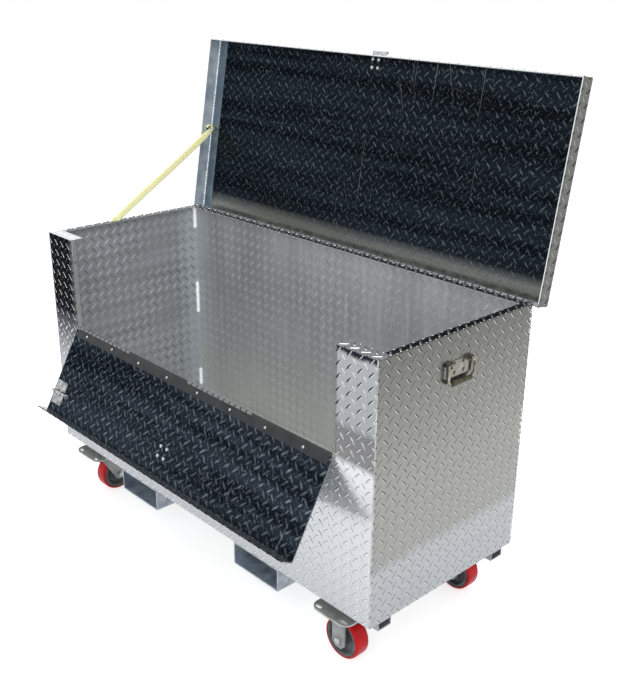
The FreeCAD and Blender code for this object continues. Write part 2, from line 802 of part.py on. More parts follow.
def axle(y):
    """Axle bolt with its head and nut."""
    out = fork_half + fork_sheet
    left = Vector(-out, y, axle_z)
    right = Vector(out, y, axle_z)
    step = Vector(axle_head, 0, 0)
    head = polygon_bar(6, axle_head_radius, left - step, left)
    nut = polygon_bar(6, axle_head_radius, right, right + step)
    shank = rod(axle_radius, left, right + step * 1.3)
    return joined([head, shank, nut])


def revolved(right, y):
    """Ring about the axle from the right half of its (x, radius) outline."""
    points = right + [(-x, r) for x, r in reversed(right)]
    face = Part.Face(rounded_wire("xz", y, [(x, axle_z + r, 0) for x, r in points]))
    return face.revolve(Vector(0, y, axle_z), Vector(1, 0, 0), 360)


def wheel_core(y):
    """Cast wheel centre: hub, dished web and rim."""
    half = wheel_width / 2
    hub = fork_half - hub_end_gap
    right = [(hub, axle_radius + pin_clearance), (hub, hub_radius)]
    right += [(half - core_dish, core_radius - core_rim), (half - core_inset, core_radius)]
    return revolved(right, y)


def tyre(y):
    """Polyurethane tread with bevelled shoulders."""
    half = wheel_width / 2
    side = wheel_radius - tyre_shoulder * 2 / 3
    right = [(half - core_inset / 2, core_radius), (half, side), (half - tyre_shoulder, wheel_radius)]
    return revolved(right, y)


def caster(swivels):
    """Pieces of one caster by name."""
    y = swivel_trail if swivels else 0
    pieces = {
        "caster_plate": caster_plate_piece(swivels),
        "caster_fork": swivel_fork() if swivels else rigid_fork(),
        "axle_bolt": axle(y),
        "wheel_core": wheel_core(y),
        "tyre": tyre(y),
    }
    if swivels:
        pieces["kingpin"] = kingpin()
    return pieces


# ---- the whole box ----
def build():
    """Every piece by node name, in the drawing's place."""
    nodes = {
        "front_wall": front_wall(),
        "back_wall": back_wall(),
        "right_wall": side_wall(),
        "left_wall": mirrored(side_wall()),
        "floor_plate": floor_plate(),
        "front_rails": rail(front_rail_inset),
        "rear_rails": rail(box_depth - rear_rail_inset),
        "left_fork_pocket": fork_pocket(-pocket_centre),
        "right_fork_pocket": fork_pocket(pocket_centre),
        "lid_strap": lid_strap(),
        "strap_anchor": strap_anchor(),
    }

    lid_line = (lid_hinge_margin - half_length, half_length - lid_hinge_margin)
    lid_centre = (lid_hinge_y, lid_hinge_z)
    nodes["lid_hinge_lower_leaf"] = hinge_leaf(*lid_line, 0, lid_centre, back_face, -1)
    upper = hinge_leaf(*lid_line, 1, lid_centre, lid_back - plate - leaf, 1)
    nodes["lid_hinge_upper_leaf"] = lid_open(upper)
    ends = [Vector(x, lid_hinge_y, lid_hinge_z) for x in lid_line]
    nodes["lid_hinge_pin"] = rod(hinge_pin_radius, *ends)

    door_line = (door_hinge_margin - door_half, door_half - door_hinge_margin)
    door_centre = (door_hinge_y, door_hinge_z)
    nodes["door_hinge_lower_leaf"] = hinge_leaf(*door_line, 0, door_centre, plate, -1)
    nodes["door_hinge_upper_leaf"] = door_open(hinge_leaf(*door_line, 1, door_centre, plate, 1))
    ends = [Vector(x, door_hinge_y, door_hinge_z) for x in door_line]
    nodes["door_hinge_pin"] = rod(hinge_pin_radius, *ends)

    nodes["door_panel"] = door_open(door_panel())
    nodes["door_staple"] = door_open(door_staple())
    grip = staple_base + plate
    bolts = [bolt(at, Vector(0, 1, 0), grip) for at in staple_bolts_at()]
    nodes["staple_bolts"] = door_open(Part.makeCompound(bolts))
    nodes["slide_bolt_plate"] = door_open(latch_plate_piece())
    nodes["slide_bolt"] = door_open(slide_bolt())

    nodes["lid_pan"] = lid_open(lid_pan())
    nodes["hasp_leaf"] = lid_open(hasp_leaf_piece())
    bolts = [bolt(at, Vector(0, 0, -1), hasp_leaf + plate) for at in hasp_bolts_at()]
    nodes["hasp_bolts"] = lid_open(Part.makeCompound(bolts))
    half = hasp_width / 2
    pin = rod(hasp_pin_radius, Vector(hasp_x - half, hasp_y, hasp_z), Vector(hasp_x + half, hasp_y, hasp_z))
    nodes["hasp_pin"] = lid_open(pin)
    nodes["strap_ring"] = lid_open(strap_ring())
    strap = hasp_strap_shut()
    y, z = hasp_pivot()
    strap = strap.translated(Vector(0, y - hasp_y, z - hasp_z))
    nodes["hasp_strap"] = strap.rotated(Vector(0, y, z), Vector(1, 0, 0), hanging_tilt(hasp_strap_shut()))

    handle = {"handle_plate": handle_plate_piece(), "handle_bail": handle_bail(), "handle_grip": handle_grip()}
    for name, shape in handle.items():
        nodes["right_" + name] = shape
        nodes["left_" + name] = mirrored(shape)
    bolts = [bolt(at, Vector(-1, 0, 0), handle_plate + plate) for at in handle_bolts_at()]
    nodes["handle_bolts"] = Part.makeCompound(bolts + [mirrored(shape) for shape in bolts])

    for side, swivels in ((-1, True), (1, False)):
        pieces = caster(swivels)
        for row, y in caster_rows.items():
            for name, shape in pieces.items():
                if not swivels:
                    shape = shape.rotated(Vector(0, 0, 0), Vector(0, 0, 1), 90)
                shape = place_caster(shape, y, swivels, name)
                nodes[caster_name(row, side) + "_" + name] = shape
    return nodes


def caster_name(row, side):
    """Row and side of a caster in words."""
    return row + ("_left" if side < 0 else "_right")


def place_caster(shape, y, swivels, name):
    """Caster piece under the rail; a rigid caster's plate lies the same way as a swivel caster's."""
    if not swivels and name == "caster_plate":
        shape = shape.rotated(Vector(0, 0, 0), Vector(0, 0, 1), -90)
    x = swivel_inset - half_length if swivels else half_length - rigid_inset
    return shape.translated(Vector(x, y, -rail_height))


def hasp_pivot():
    """(y, z) of the hasp's pin with the lid open."""
    y, z = turned(hasp_y - lid_hinge_y, hasp_z - lid_hinge_z, -lid_opening)
    return lid_hinge_y + y, lid_hinge_z + z


def middle_y():
    """Middle of the whole between the open door's flange and the open lid's hasp."""
    front = turned(door_flange - door_hinge_y, door_top - door_hinge_z, door_opening)[0] + door_hinge_y
    rear = hasp_pivot()[0] + hasp_knuckle_radius
    return (front + rear) / 2


def in_frame(x, y, z):
    """Drawing place to the finished frame."""
    return Vector(x, y - middle_y(), z + ride_height)


os.makedirs("parts", exist_ok=True)
for node_name, node_shape in build().items():
    node_shape.translated(in_frame(0, 0, 0)).exportStep(os.path.join("parts", node_name + ".step"))
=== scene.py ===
# %% [markdown]
# A jobsite storage box is a long chest folded from aluminium tread plate. This lesson dresses its packed
# frame: raised tread on every outer face, pushed-through marks on the inner ones, rivets, welds, webbing
# and wheels. Everything is in metres, with +Z up, -Y the front and z = 0 the floor.

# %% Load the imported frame
import bpy
import bmesh
import json
import math
from mathutils import Matrix, Vector


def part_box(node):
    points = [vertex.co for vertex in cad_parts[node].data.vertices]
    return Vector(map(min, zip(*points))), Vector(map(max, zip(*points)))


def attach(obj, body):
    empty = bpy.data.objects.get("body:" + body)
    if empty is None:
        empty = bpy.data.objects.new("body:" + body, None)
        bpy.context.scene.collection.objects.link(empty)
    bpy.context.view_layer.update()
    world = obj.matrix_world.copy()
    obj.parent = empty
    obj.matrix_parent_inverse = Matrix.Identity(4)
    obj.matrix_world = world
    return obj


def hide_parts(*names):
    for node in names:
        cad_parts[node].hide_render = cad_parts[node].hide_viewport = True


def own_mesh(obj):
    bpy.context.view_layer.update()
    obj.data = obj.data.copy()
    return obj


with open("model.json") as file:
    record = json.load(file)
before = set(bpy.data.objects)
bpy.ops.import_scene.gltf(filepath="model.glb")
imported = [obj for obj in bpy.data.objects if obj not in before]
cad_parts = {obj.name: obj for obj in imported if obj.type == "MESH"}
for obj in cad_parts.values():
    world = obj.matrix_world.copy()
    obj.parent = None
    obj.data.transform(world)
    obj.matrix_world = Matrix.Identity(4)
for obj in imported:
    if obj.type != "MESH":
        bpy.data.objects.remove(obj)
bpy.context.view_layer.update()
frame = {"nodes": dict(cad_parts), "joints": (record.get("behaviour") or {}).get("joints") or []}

# %% [markdown]
# The camera looks down at the right front corner. Its direction is built from a heading and a tilt, and
# a small roll about its own line of sight, so that each angle can be changed by itself.

# %% Camera
heading = math.radians(46.836)
tilt = math.radians(21.837)
roll = math.radians(0.438)
camera_place = (2.20828, -1.85822, 1.82549)
sight = Vector((-math.sin(heading) * math.cos(tilt), math.cos(heading) * math.cos(tilt), -math.sin(tilt)))
right = Vector((math.cos(heading), math.sin(heading), 0))
up = right.cross(sight)
turned_right = right * math.cos(roll) + up * math.sin(roll)
turned_up = up * math.cos(roll) - right * math.sin(roll)
camera_data = bpy.data.cameras.new("camera")
camera_data.sensor_fit = "HORIZONTAL"
camera_data.sensor_width = 36.0
camera_data.lens = 56.04
camera = bpy.data.objects.new("camera", camera_data)
camera.matrix_world = Matrix.Translation(camera_place) @ Matrix(
    (turned_right, turned_up, -sight)).transposed().to_4x4()
bpy.context.scene.collection.objects.link(camera)
bpy.context.scene.camera = camera
print("camera at", [round(c, 3) for c in camera.matrix_world.translation])

# %% [markdown]
# Every finish below is a tree of shader nodes. Adding a node, filling its sockets and linking it takes
# several lines each time, so a few small functions do that, and a finish then reads like a formula.

# %% Shader nodes as formulas


def make_node(tree, kind, inputs=None, **settings):
    """Add a shader node, set its properties and fill or link its input sockets."""
    made = tree.nodes.new(kind)
    for name, value in settings.items():
        setattr(made, name, value)
    for socket, value in (inputs or {}).items():
        if isinstance(value, bpy.types.NodeSocket):
            tree.links.new(value, made.inputs[socket])
        else:
            made.inputs[socket].default_value = value
    return made


def math_node(tree, operation, *values):
    """A maths node with its values or sockets in order."""
    return make_node(tree, "ShaderNodeMath", dict(enumerate(values)), operation=operation).outputs[0]


def times(tree, first, second):
    """Two values multiplied."""
    return math_node(tree, "MULTIPLY", first, second)


def vector_node(tree, operation, *vectors):
    """A vector maths node: its number where the operation makes one, and otherwise its vector."""
    made = make_node(tree, "ShaderNodeVectorMath", dict(enumerate(vectors)), operation=operation)
    return made.outputs["Value" if operation in ("DOT_PRODUCT", "LENGTH") else "Vector"]


def sees_background(tree):
    """1 for rays from the camera, from mirrors and through glass, and 0 for plain light."""
    path = make_node(tree, "ShaderNodeLightPath")
    shiny = math_node(tree, "MAXIMUM", path.outputs["Is Glossy Ray"], path.outputs["Is Transmission Ray"])
    return math_node(tree, "MAXIMUM", path.outputs["Is Camera Ray"], shiny)


# %% [markdown]
# Most of the light is the pale room itself, which suits metal, since metal shows what is around it. Three
# large soft lamps add direction. The world is white where the camera or a mirror looks at it, and a plain
# level of light everywhere else. The Standard view shows colours as they are, with no film curve over them.

# %% World and lamps
view = bpy.context.scene.view_settings
view.view_transform = "Standard"
room_light = 0.62
world = bpy.data.worlds.new("studio")
world.use_nodes = True
sky = world.node_tree
sky.nodes.clear()
level = make_node(sky, "ShaderNodeMapRange", {
    "Value": sees_background(sky), "To Min": room_light, "To Max": 1.0})
shell = make_node(sky, "ShaderNodeBackground", {"Color": (1, 1, 1, 1), "Strength": level.outputs[0]})
sky.links.new(shell.outputs[0], make_node(sky, "ShaderNodeOutputWorld").inputs[0])
bpy.context.scene.world = world


def soft_lamp(name, place, target, size, power):
    """Square area lamp aimed at a point."""
    data = bpy.data.lights.new(name, "AREA")
    data.size = size
    data.energy = power
    lamp = bpy.data.objects.new(name, data)
    lamp.location = place
    lamp.rotation_euler = (Vector(target) - Vector(place)).to_track_quat("-Z", "Y").to_euler()
    bpy.context.scene.collection.objects.link(lamp)


soft_lamp("key_lamp", (1.6, -3.2, 3.4), (0, 0, 0.6), 2.2, 42)
soft_lamp("fill_lamp", (3.6, 0.6, 2.2), (0, 0, 0.5), 2.0, 14)
soft_lamp("top_lamp", (-0.6, 0.0, 4.2), (0, 0, 0.6), 2.6, 52)
print("lamps:", len(bpy.data.lights), "and view:", view.view_transform)

# %% [markdown]
# The floor is a wide pale sheet. Even a white sheet looks grey away from the lamps, so it also glows a
# little, but only for the camera and for mirrors. The light that it throws on the box stays as it is.

# %% Floor
floor_half = 30
floor_grey = (0.78, 0.78, 0.78, 1)
floor_glow = 0.66
floor_bm = bmesh.new()
bmesh.ops.create_grid(floor_bm, x_segments=1, y_segments=1, size=floor_half)
floor_mesh = bpy.data.meshes.new("floor")
floor_bm.to_mesh(floor_mesh)
floor_bm.free()
floor = bpy.data.objects.new("floor", floor_mesh)
bpy.context.scene.collection.objects.link(floor)
floor_paint = bpy.data.materials.new("pale_floor")
floor_paint.use_nodes = True
tree = floor_paint.node_tree
tree.nodes.clear()
chalk = make_node(tree, "ShaderNodeBsdfDiffuse", {"Color": floor_grey})
glow_level = times(tree, sees_background(tree), floor_glow)
glow = make_node(tree, "ShaderNodeEmission", {"Color": (1, 1, 1, 1), "Strength": glow_level})
both = make_node(tree, "ShaderNodeAddShader", {0: chalk.outputs[0], 1: glow.outputs[0]})
tree.links.new(both.outputs[0], make_node(tree, "ShaderNodeOutputMaterial").inputs[0])
floor_mesh.materials.append(floor_paint)
print("floor:", 2 * floor_half, "metres square")

# %% [markdown]
# Tread plate has bars pressed up in two directions. The bars that fall to the right stand on a grid of
# upright oblong cells, and the bars that rise stand at the middle of those cells, so that each bar points
# at the side of the next. One tile of two bars therefore draws the raised bars and, as a mask, their faint
# marks on the back of the sheet. The mask folds space into cells with Fraction, turns each cell by 45
# degrees, and calls everything inside an ellipse a bar.

# %% Sizes of the tread and masks of its bars
tread_across = 0.0374        # from one falling bar to the next across the sheet
tread_up = 0.0355            # and from one row to the next
bar_length = 0.0265
bar_width = 0.0062
bar_rise = 0.0011


def new_material(name):
    """Empty material, its tree and the place of a point on the part."""
    material = bpy.data.materials.new(name)
    material.use_nodes = True
    tree = material.node_tree
    tree.nodes.clear()
    return material, tree, make_node(tree, "ShaderNodeTexCoord").outputs["Object"]


def finish_material(tree, sockets):
    """Send a shader with these sockets to the material's output."""
    shader = make_node(tree, "ShaderNodeBsdfPrincipled", sockets)
    tree.links.new(shader.outputs[0], make_node(tree, "ShaderNodeOutputMaterial").inputs[0])


def turned(tree, place, turn):
    """A place turned about the origin."""
    return make_node(tree, "ShaderNodeMapping", {"Vector": place, "Rotation": turn}).outputs[0]


def bars(tree, place, softness, share=(1.0, 1.0)):
    """Masks of the falling and of the rising bars, 1 on a bar and 0 off it, for a sheet in the XY plane.

    The share is how much of a bar's length and width shows."""
    in_cells = vector_node(tree, "DIVIDE", place, (tread_across, tread_up, 1))
    masks = []
    for shift, turn in ((0.5, 45), (0.0, -45)):
        cell = vector_node(tree, "FRACTION", vector_node(tree, "ADD", in_cells, (shift, shift, 0)))
        middle = vector_node(tree, "SUBTRACT", cell, (0.5, 0.5, 0))
        metres = vector_node(tree, "MULTIPLY", middle, (tread_across, tread_up, 0))
        level = turned(tree, metres, (0, 0, math.radians(turn)))
        shape = vector_node(tree, "MULTIPLY", level, (2 / bar_length / share[0], 2 / bar_width / share[1], 0))
        mask = make_node(tree, "ShaderNodeMapRange", {
            "Value": vector_node(tree, "LENGTH", shape), "From Min": 1 + softness, "From Max": 1 - softness},
            interpolation_type="SMOOTHSTEP")
        masks.append(mask.outputs[0])
    return masks


print("bars per square metre:", round(2 / (tread_across * tread_up)))

# %% [markdown]
# Metal is never one grey. Noise that is drawn out along one direction gives the marks of rolling and
# brushing, a ramp picks how much of it shows, and colours are mixed by it. Colours are written as in a
# colour picker, from 0 to 255, and made linear here, because that is what a shader takes.

# %% Colours, streaks and ramps


def linear(red, green, blue):
    """Colour picker values of 0 to 255 as the linear colour that a shader takes."""
    parts = [c / 255 for c in (red, green, blue)]
    return tuple(c / 12.92 if c < 0.04045 else ((c + 0.055) / 1.055) ** 2.4 for c in parts) + (1.0,)


def graded(*steps):
    """Tones that change along a value: for each step the value and its red, green and blue."""
    return [(value, linear(*colour)) for value, *colour in steps]


def tinted(colour, parts):
    """A colour with each of its three parts made stronger or weaker, and never over 1."""
    return tuple(min(1.0, c * part) for c, part in zip(colour, parts)) + (1,)


def streaks(tree, place, scale, detail=3.0):
    """Noise drawn out along one direction, as rolling marks and wiping leave it."""
    stretched = make_node(tree, "ShaderNodeMapping", {"Vector": place, "Scale": scale})
    return make_node(tree, "ShaderNodeTexNoise", {
        "Vector": stretched.outputs[0], "Scale": 1.0, "Detail": detail}).outputs["Fac"]


def mixed(tree, factor, first, second):
    """Two colours mixed by a factor."""
    return make_node(tree, "ShaderNodeMix", {0: factor, 6: first, 7: second}, data_type="RGBA").outputs[2]


def ramp(tree, value, low, high, out_low=0.0, out_high=1.0):
    """A value taken from one range to another, held at its ends."""
    return make_node(tree, "ShaderNodeMapRange", {
        "Value": value, "From Min": low, "From Max": high, "To Min": out_low, "To Max": out_high}).outputs[0]


def bumped(tree, height, distance, strength):
    """Normal raised by a height socket."""
    return make_node(tree, "ShaderNodeBump", {
        "Height": height, "Distance": distance, "Strength": strength}).outputs[0]


def tones(tree, value, stops):
    """Colours laid along a value, each blending into the next: a list of (value, colour), or one colour."""
    if not isinstance(stops[0], tuple):
        return stops
    low, high = stops[0][0], stops[-1][0]
    band = make_node(tree, "ShaderNodeValToRGB", {0: ramp(tree, value, low, high)})
    for index, (at, colour) in enumerate(stops):
        if 0 < index < len(stops) - 1:
            band.color_ramp.elements.new((at - low) / (high - low)).color = colour
    band.color_ramp.elements[0].color = stops[0][1]
    band.color_ramp.elements[-1].color = stops[-1][1]
    return band.outputs[0]


def height_of(tree, place, waver=0.0):
    """Height on the part, wavering a little so that a change of tone is not ruled straight."""
    height = make_node(tree, "ShaderNodeSeparateXYZ", {0: place}).outputs["Z"]
    if not waver:
        return height
    cloud = streaks(tree, place, (26, 26, 26))
    return math_node(tree, "ADD", height, ramp(tree, cloud, 0.3, 0.7, -waver, waver))


print("middle grey, made linear:", [round(c, 3) for c in linear(128, 128, 128)[:3]])

# %% [markdown]
# The outer face of the sheet is mill bright. It is not one grey: rolling leaves long faint streaks, and the
# face is a little clouded. Its tone changes up the wall as a painted reflection of the pale floor below and
# the room above, and each wall has its own list of these tones by height.

# %% Outer sheet


def clouded_metal(tree, colour, place, clouds, edge_on=0.9):
    """Finish a material as mill sheet in a colour, with clouds in it and a fine grain along the rolling."""
    cloud = ramp(tree, streaks(tree, place, (9, 9, 60)), 0.35, 0.68)
    colour = mixed(tree, times(tree, cloud, clouds), colour, linear(120, 122, 122))
    fine = streaks(tree, place, (500, 500, 30), 2.0)
    finish_material(tree, {
        "Base Color": colour, "Metallic": 0.9, "Specular Tint": (edge_on, edge_on, edge_on, 1),
        "Roughness": ramp(tree, fine, 0.3, 0.7, 0.18, 0.32), "Normal": bumped(tree, fine, 0.0004, 0.35)})


def outer_sheet(name, stops, clouds=0.12):
    """Bright tread sheet between its bars, with its tones by height painted as reflection of floor and room.
    """
    material, tree, place = new_material(name)
    clouded_metal(tree, tones(tree, height_of(tree, place, 0.006), stops), place, clouds)
    return material


# Painted reflection: the side walls are paler and bluer low down, where they mirror the white floor, and
# darker higher up.
side_reflection_tones = graded((0.20, 170, 174, 178), (0.345, 171, 175, 178), (0.375, 152, 152, 149),
                    (0.60, 147, 147, 143), (0.80, 128, 128, 124), (0.95, 106, 106, 103))
warm_sheet = outer_sheet("warm_tread_sheet", side_reflection_tones)
cool_sheet = outer_sheet("cool_tread_sheet", graded((0.19, 164, 168, 172), (0.95, 178, 181, 184)))
# Painted highlight: the folded edges and the turned-over top are painted nearly white.
edge_highlight = outer_sheet("painted_edge_highlight", graded((0.19, 226, 229, 232), (0.96, 240, 242, 244)), 0.05)
# Painted shade: the top faces of the rims are painted dark navy.
rim_sheet = outer_sheet("rim_tread_sheet", graded((0.90, 66, 74, 80), (0.96, 60, 68, 74)), 0.05)
print("outer sheets:", ", ".join(m.name for m in (warm_sheet, cool_sheet, edge_highlight, rim_sheet)))

# %% [markdown]
# The front is one folded sheet, so its two posts and its sill share a material. The left post is painted
# near-black, a painted reflection of dark surroundings, and a soft grey wedge beside the end of the door
# hinge is a painted reflection of the open door. Both are masks made of straight edges: a half plane is a
# dot product with a ramp over it, and three half planes make a wedge.

# %% Front sheet
# Painted reflection in the tones by height: on the right post the dark band at mid height mirrors the open
# door, and the near-black band at the top is painted shade.
front_tones_with_reflection = graded((0.19, 188, 192, 196), (0.40, 196, 199, 203), (0.60, 208, 211, 214),
                     (0.640, 208, 211, 214), (0.658, 126, 125, 125), (0.735, 118, 118, 119),
                     (0.760, 152, 156, 159), (0.936, 158, 162, 165), (0.945, 28, 34, 42), (0.953, 28, 34, 42))
# Painted reflection: the left post darkens to near-black upwards, a mirror of dark surroundings.
left_post_reflection_tones = graded((0.48, 190, 193, 197), (0.61, 112, 115, 120), (0.70, 24, 27, 32), (0.95, 4, 5, 7))
sill_tones = graded((0.19, 188, 192, 196), (0.40, 196, 199, 203), (0.65, 208, 211, 214))
post_x = 0.600                   # the tones of the posts begin this far from the middle
# Painted reflection of the open door: a grey wedge beside the end of the door hinge.
door_reflection_strength = 0.6
door_reflection_tip = (0.5686, 0.495)
door_reflection_edges = ((door_reflection_tip, (0.939, -0.343), 0.004), (door_reflection_tip, (-0.13, 0.99), 0.004),
               ((0.62, 0.636), (-0.638, -0.770), 0.012))


def half_plane(tree, place, point, away, softness):
    """1 on the side of a line that a direction points to, for a line through a point of the front."""
    moved = vector_node(tree, "SUBTRACT", place, (point[0], 0, point[1]))
    reach = vector_node(tree, "DOT_PRODUCT", moved, Vector((away[0], 0, away[1])).normalized())
    return ramp(tree, reach, -softness, softness)


def front_sheet(name):
    """The folded front: tones by height, a left post painted near-black and a grey wedge beside the hinge,
    all painted reflection.
    """
    material, tree, place = new_material(name)
    height = height_of(tree, place, 0.004)
    right_post = half_plane(tree, place, (post_x, 0), (1, 0), 0.02)
    colour = mixed(tree, right_post, tones(tree, height, sill_tones), tones(tree, height, front_tones_with_reflection))
    left_post = half_plane(tree, place, (-post_x, 0), (-1, 0), 0.05)
    colour = mixed(tree, left_post, colour, tones(tree, height, left_post_reflection_tones))
    door_reflection = door_reflection_strength
    for edge in door_reflection_edges:
        door_reflection = times(tree, half_plane(tree, place, *edge), door_reflection)
    colour = mixed(tree, door_reflection, colour, linear(150, 152, 158))
    clouded_metal(tree, colour, place, 0.02, edge_on=0.4)
    return material


folded_front = front_sheet("folded_front_sheet")
print("tones up the right post:", len(front_tones_with_reflection), "and up the left one:", len(left_post_reflection_tones))

# %% [markdown]
# A raised bar is bright on the slope that faces the light and dark on the opposite one, and that is what
# makes tread plate sparkle. Here that light and shade are painted: the material asks which way a face looks,
# with a dot product between its normal and a direction, and gives the two slopes a painted highlight and
# painted shade and the top a tone between. Each kind of wall has its own three, which also change by height
# as painted reflection.

# %% Finishes of the raised bars


def bar_metal(name, top, bright, dark, toward, edge_on=0.9):
    """Raised bars: a painted highlight on the slope that looks one way, painted shade on the opposite one,
    the top between them.
    """
    material, tree, place = new_material(name)
    height = height_of(tree, place)
    faces = make_node(tree, "ShaderNodeTexCoord").outputs["Normal"]
    slope = vector_node(tree, "DOT_PRODUCT", faces, Vector(toward).normalized())
    colour = mixed(tree, ramp(tree, slope, -0.42, -0.16), tones(tree, height, dark), tones(tree, height, top))
    colour = mixed(tree, ramp(tree, slope, 0.16, 0.42), colour, tones(tree, height, bright))
    rub = ramp(tree, streaks(tree, place, (60, 60, 60)), 0.4, 0.7)
    colour = mixed(tree, times(tree, rub, 0.25), colour, tones(tree, height, top))
    finish_material(tree, {
        "Base Color": colour, "Metallic": 0.9, "Roughness": 0.2,
        "Specular Tint": (edge_on, edge_on, edge_on, 1)})
    return material


warm_falling = bar_metal("warm_falling_bars",
                         graded((0.3, 146, 149, 152), (0.6, 100, 100, 97), (0.95, 58, 58, 56)),
                         graded((0.3, 214, 217, 220), (0.95, 206, 206, 200)),
                         graded((0.3, 96, 100, 104), (0.95, 34, 34, 33)), (0, -1, -1))
warm_rising = bar_metal("warm_rising_bars",
                        graded((0.3, 176, 179, 182), (0.6, 150, 150, 146), (0.95, 134, 134, 130)),
                        graded((0.3, 200, 203, 206), (0.95, 184, 184, 178)),
                        graded((0.3, 142, 146, 150), (0.6, 112, 112, 108), (0.95, 66, 66, 64)), (0, 1, -1))
cool_falling = bar_metal("cool_falling_bars",
                         graded((0.25, 204, 207, 211), (0.6, 192, 195, 199)),
                         graded((0.25, 236, 238, 240), (0.6, 232, 234, 236)),
                         graded((0.25, 176, 180, 185), (0.6, 150, 154, 160)), (-1, 0, -1))
cool_rising = bar_metal("cool_rising_bars",
                        graded((0.25, 192, 196, 200), (0.6, 176, 180, 185)),
                        graded((0.25, 232, 234, 237), (0.6, 226, 229, 232)),
                        graded((0.25, 134, 140, 147), (0.6, 100, 106, 112), (0.95, 56, 61, 68)), (1, 0, -1))
post_rising = bar_metal("post_rising_bars",
                        graded((0.62, 140, 143, 147), (0.74, 112, 115, 119), (0.79, 52, 56, 62),
                               (0.95, 38, 42, 48)),
                        linear(222, 225, 228), graded((0.5, 120, 124, 128), (0.8, 34, 39, 45)), (1, 0, -1))
post_falling = bar_metal("post_falling_bars", linear(172, 175, 178), linear(226, 228, 230),
                         graded((0.6, 120, 123, 127), (0.95, 140, 144, 148)), (-1, 0, -1))
# Painted reflection: the left post's bars darken to near-black upwards like the post itself, with a painted
# highlight on one slope.
left_post_reflection_bars = bar_metal("painted_reflection_post_bars",
                       graded((0.52, 170, 173, 178), (0.70, 52, 56, 62)),
                       graded((0.52, 220, 222, 225), (0.70, 206, 209, 212)),
                       graded((0.5, 96, 100, 106), (0.70, 8, 9, 12)), (0.4, 0, 1), edge_on=0.4)
rim_bars = bar_metal("rim_bars", linear(236, 238, 238), linear(250, 250, 250), linear(150, 154, 156),
                     (1, -1, 0.5))
warm = (warm_falling, warm_rising)
cool = (cool_falling, cool_rising)
print("materials so far:", len(bpy.data.materials))

# %% [markdown]
# One bar is a flat ellipse pushed up and drawn in at the top, about thirty triangles. Spin with no angle
# and a step copies the tile in rows, which is quicker than thousands of separate shapes. The rows are then
# cut off square at the edges of their panel, as a shear cuts real tread plate.

# %% One tile of two bars
FALLING, RISING = 0, 1           # the piece's first and second material
top_share = (0.86, 0.55, 1)      # how much of its length and width a bar keeps at its top


def one_bar(bm, centre, angle, finish):
    """One raised bar on the XY plane, turned by an angle, in one of the piece's material slots."""
    foot = bmesh.ops.create_circle(bm, cap_ends=True, segments=10, radius=0.5)["verts"]
    bmesh.ops.scale(bm, vec=(bar_length, bar_width, 1), verts=foot)
    base = foot[0].link_faces[0]
    if base.normal.z < 0:
        bmesh.ops.reverse_faces(bm, faces=[base])
    raised = bmesh.ops.extrude_face_region(bm, geom=[base])["geom"]
    top = [e for e in raised if isinstance(e, bmesh.types.BMVert)]
    bmesh.ops.scale(bm, vec=top_share, verts=top)
    bmesh.ops.translate(bm, vec=(0, 0, bar_rise), verts=top)
    hidden = [f for f in bm.faces if all(v in foot for v in f.verts)]
    bmesh.ops.delete(bm, geom=hidden, context="FACES_ONLY")
    bmesh.ops.rotate(bm, verts=foot + top, cent=(0, 0, 0), matrix=Matrix.Rotation(angle, 3, "Z"))
    bmesh.ops.translate(bm, vec=centre, verts=foot + top)
    for face in {f for v in foot + top for f in v.link_faces}:
        face.material_index = finish


tile_bm = bmesh.new()
one_bar(tile_bm, (0, 0, 0), math.radians(-45), FALLING)
one_bar(tile_bm, (tread_across / 2, tread_up / 2, 0), math.radians(45), RISING)
tile_mesh = bpy.data.meshes.new("tread_tile")
tile_bm.to_mesh(tile_mesh)
print("triangles in one bar:", sum(len(f.verts) - 2 for f in tile_bm.faces) // 2)
tile_bm.free()

# %% [markdown]
# A panel is first made lying flat with its corner at the origin, where rows and straight cuts are easy, and
# is then moved onto its wall by a matrix. So one function makes the tread of every wall, lid or door.

# %% Raised tread on any flat panel


def in_rows(bm, direction, count, step):
    """Copy everything count times along a direction."""
    geometry = bm.verts[:] + bm.edges[:] + bm.faces[:]
    bmesh.ops.spin(bm, geom=geometry, cent=(0, 0, 0), axis=(0, 0, 1), dvec=Vector(direction) * step,
                   angle=0, steps=count, use_duplicate=True)


def cut_outside(bm, low, high):
    """Cut away everything outside a rectangle of the XY plane."""
    for axis in (0, 1):
        for limit, sign in ((low[axis], -1), (high[axis], 1)):
            normal = Vector((0, 0, 0))
            normal[axis] = sign
            point = Vector((0, 0, 0))
            point[axis] = limit
            geometry = bm.verts[:] + bm.edges[:] + bm.faces[:]
            bmesh.ops.bisect_plane(bm, geom=geometry, plane_co=point, plane_no=normal, clear_outer=True)


def clear_inside(bm, low, high):
    """Remove the faces of bars whose middle is inside a rectangle, as where a fitting sits."""
    middles = [(f, f.calc_center_median()) for f in bm.faces]
    inside = [f for f, middle in middles if low[0] < middle.x < high[0] and low[1] < middle.y < high[1]]
    bmesh.ops.delete(bm, geom=inside, context="FACES")


def add_piece(name, bm, body, slot, *materials, smooth=False):
    """Turn a bmesh into a piece that rides on a body and takes the materials given. The slot is not used."""
    mesh = bpy.data.meshes.new(name)
    bm.normal_update()
    bm.to_mesh(mesh)
    bm.free()
    for material in materials:
        mesh.materials.append(material)
    for polygon in mesh.polygons:
        polygon.use_smooth = smooth
    piece = bpy.data.objects.new(name, mesh)
    bpy.context.scene.collection.objects.link(piece)
    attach(piece, body)
    return piece


def panel_frame(origin, across, away):
    """Matrix that puts the XY plane on a panel: X across it, Z away from it."""
    x = Vector(across).normalized()
    z = Vector(away).normalized()
    y = z.cross(x)
    turn = Matrix((x, y, z)).transposed().to_4x4()
    return Matrix.Translation(Vector(origin)) @ turn


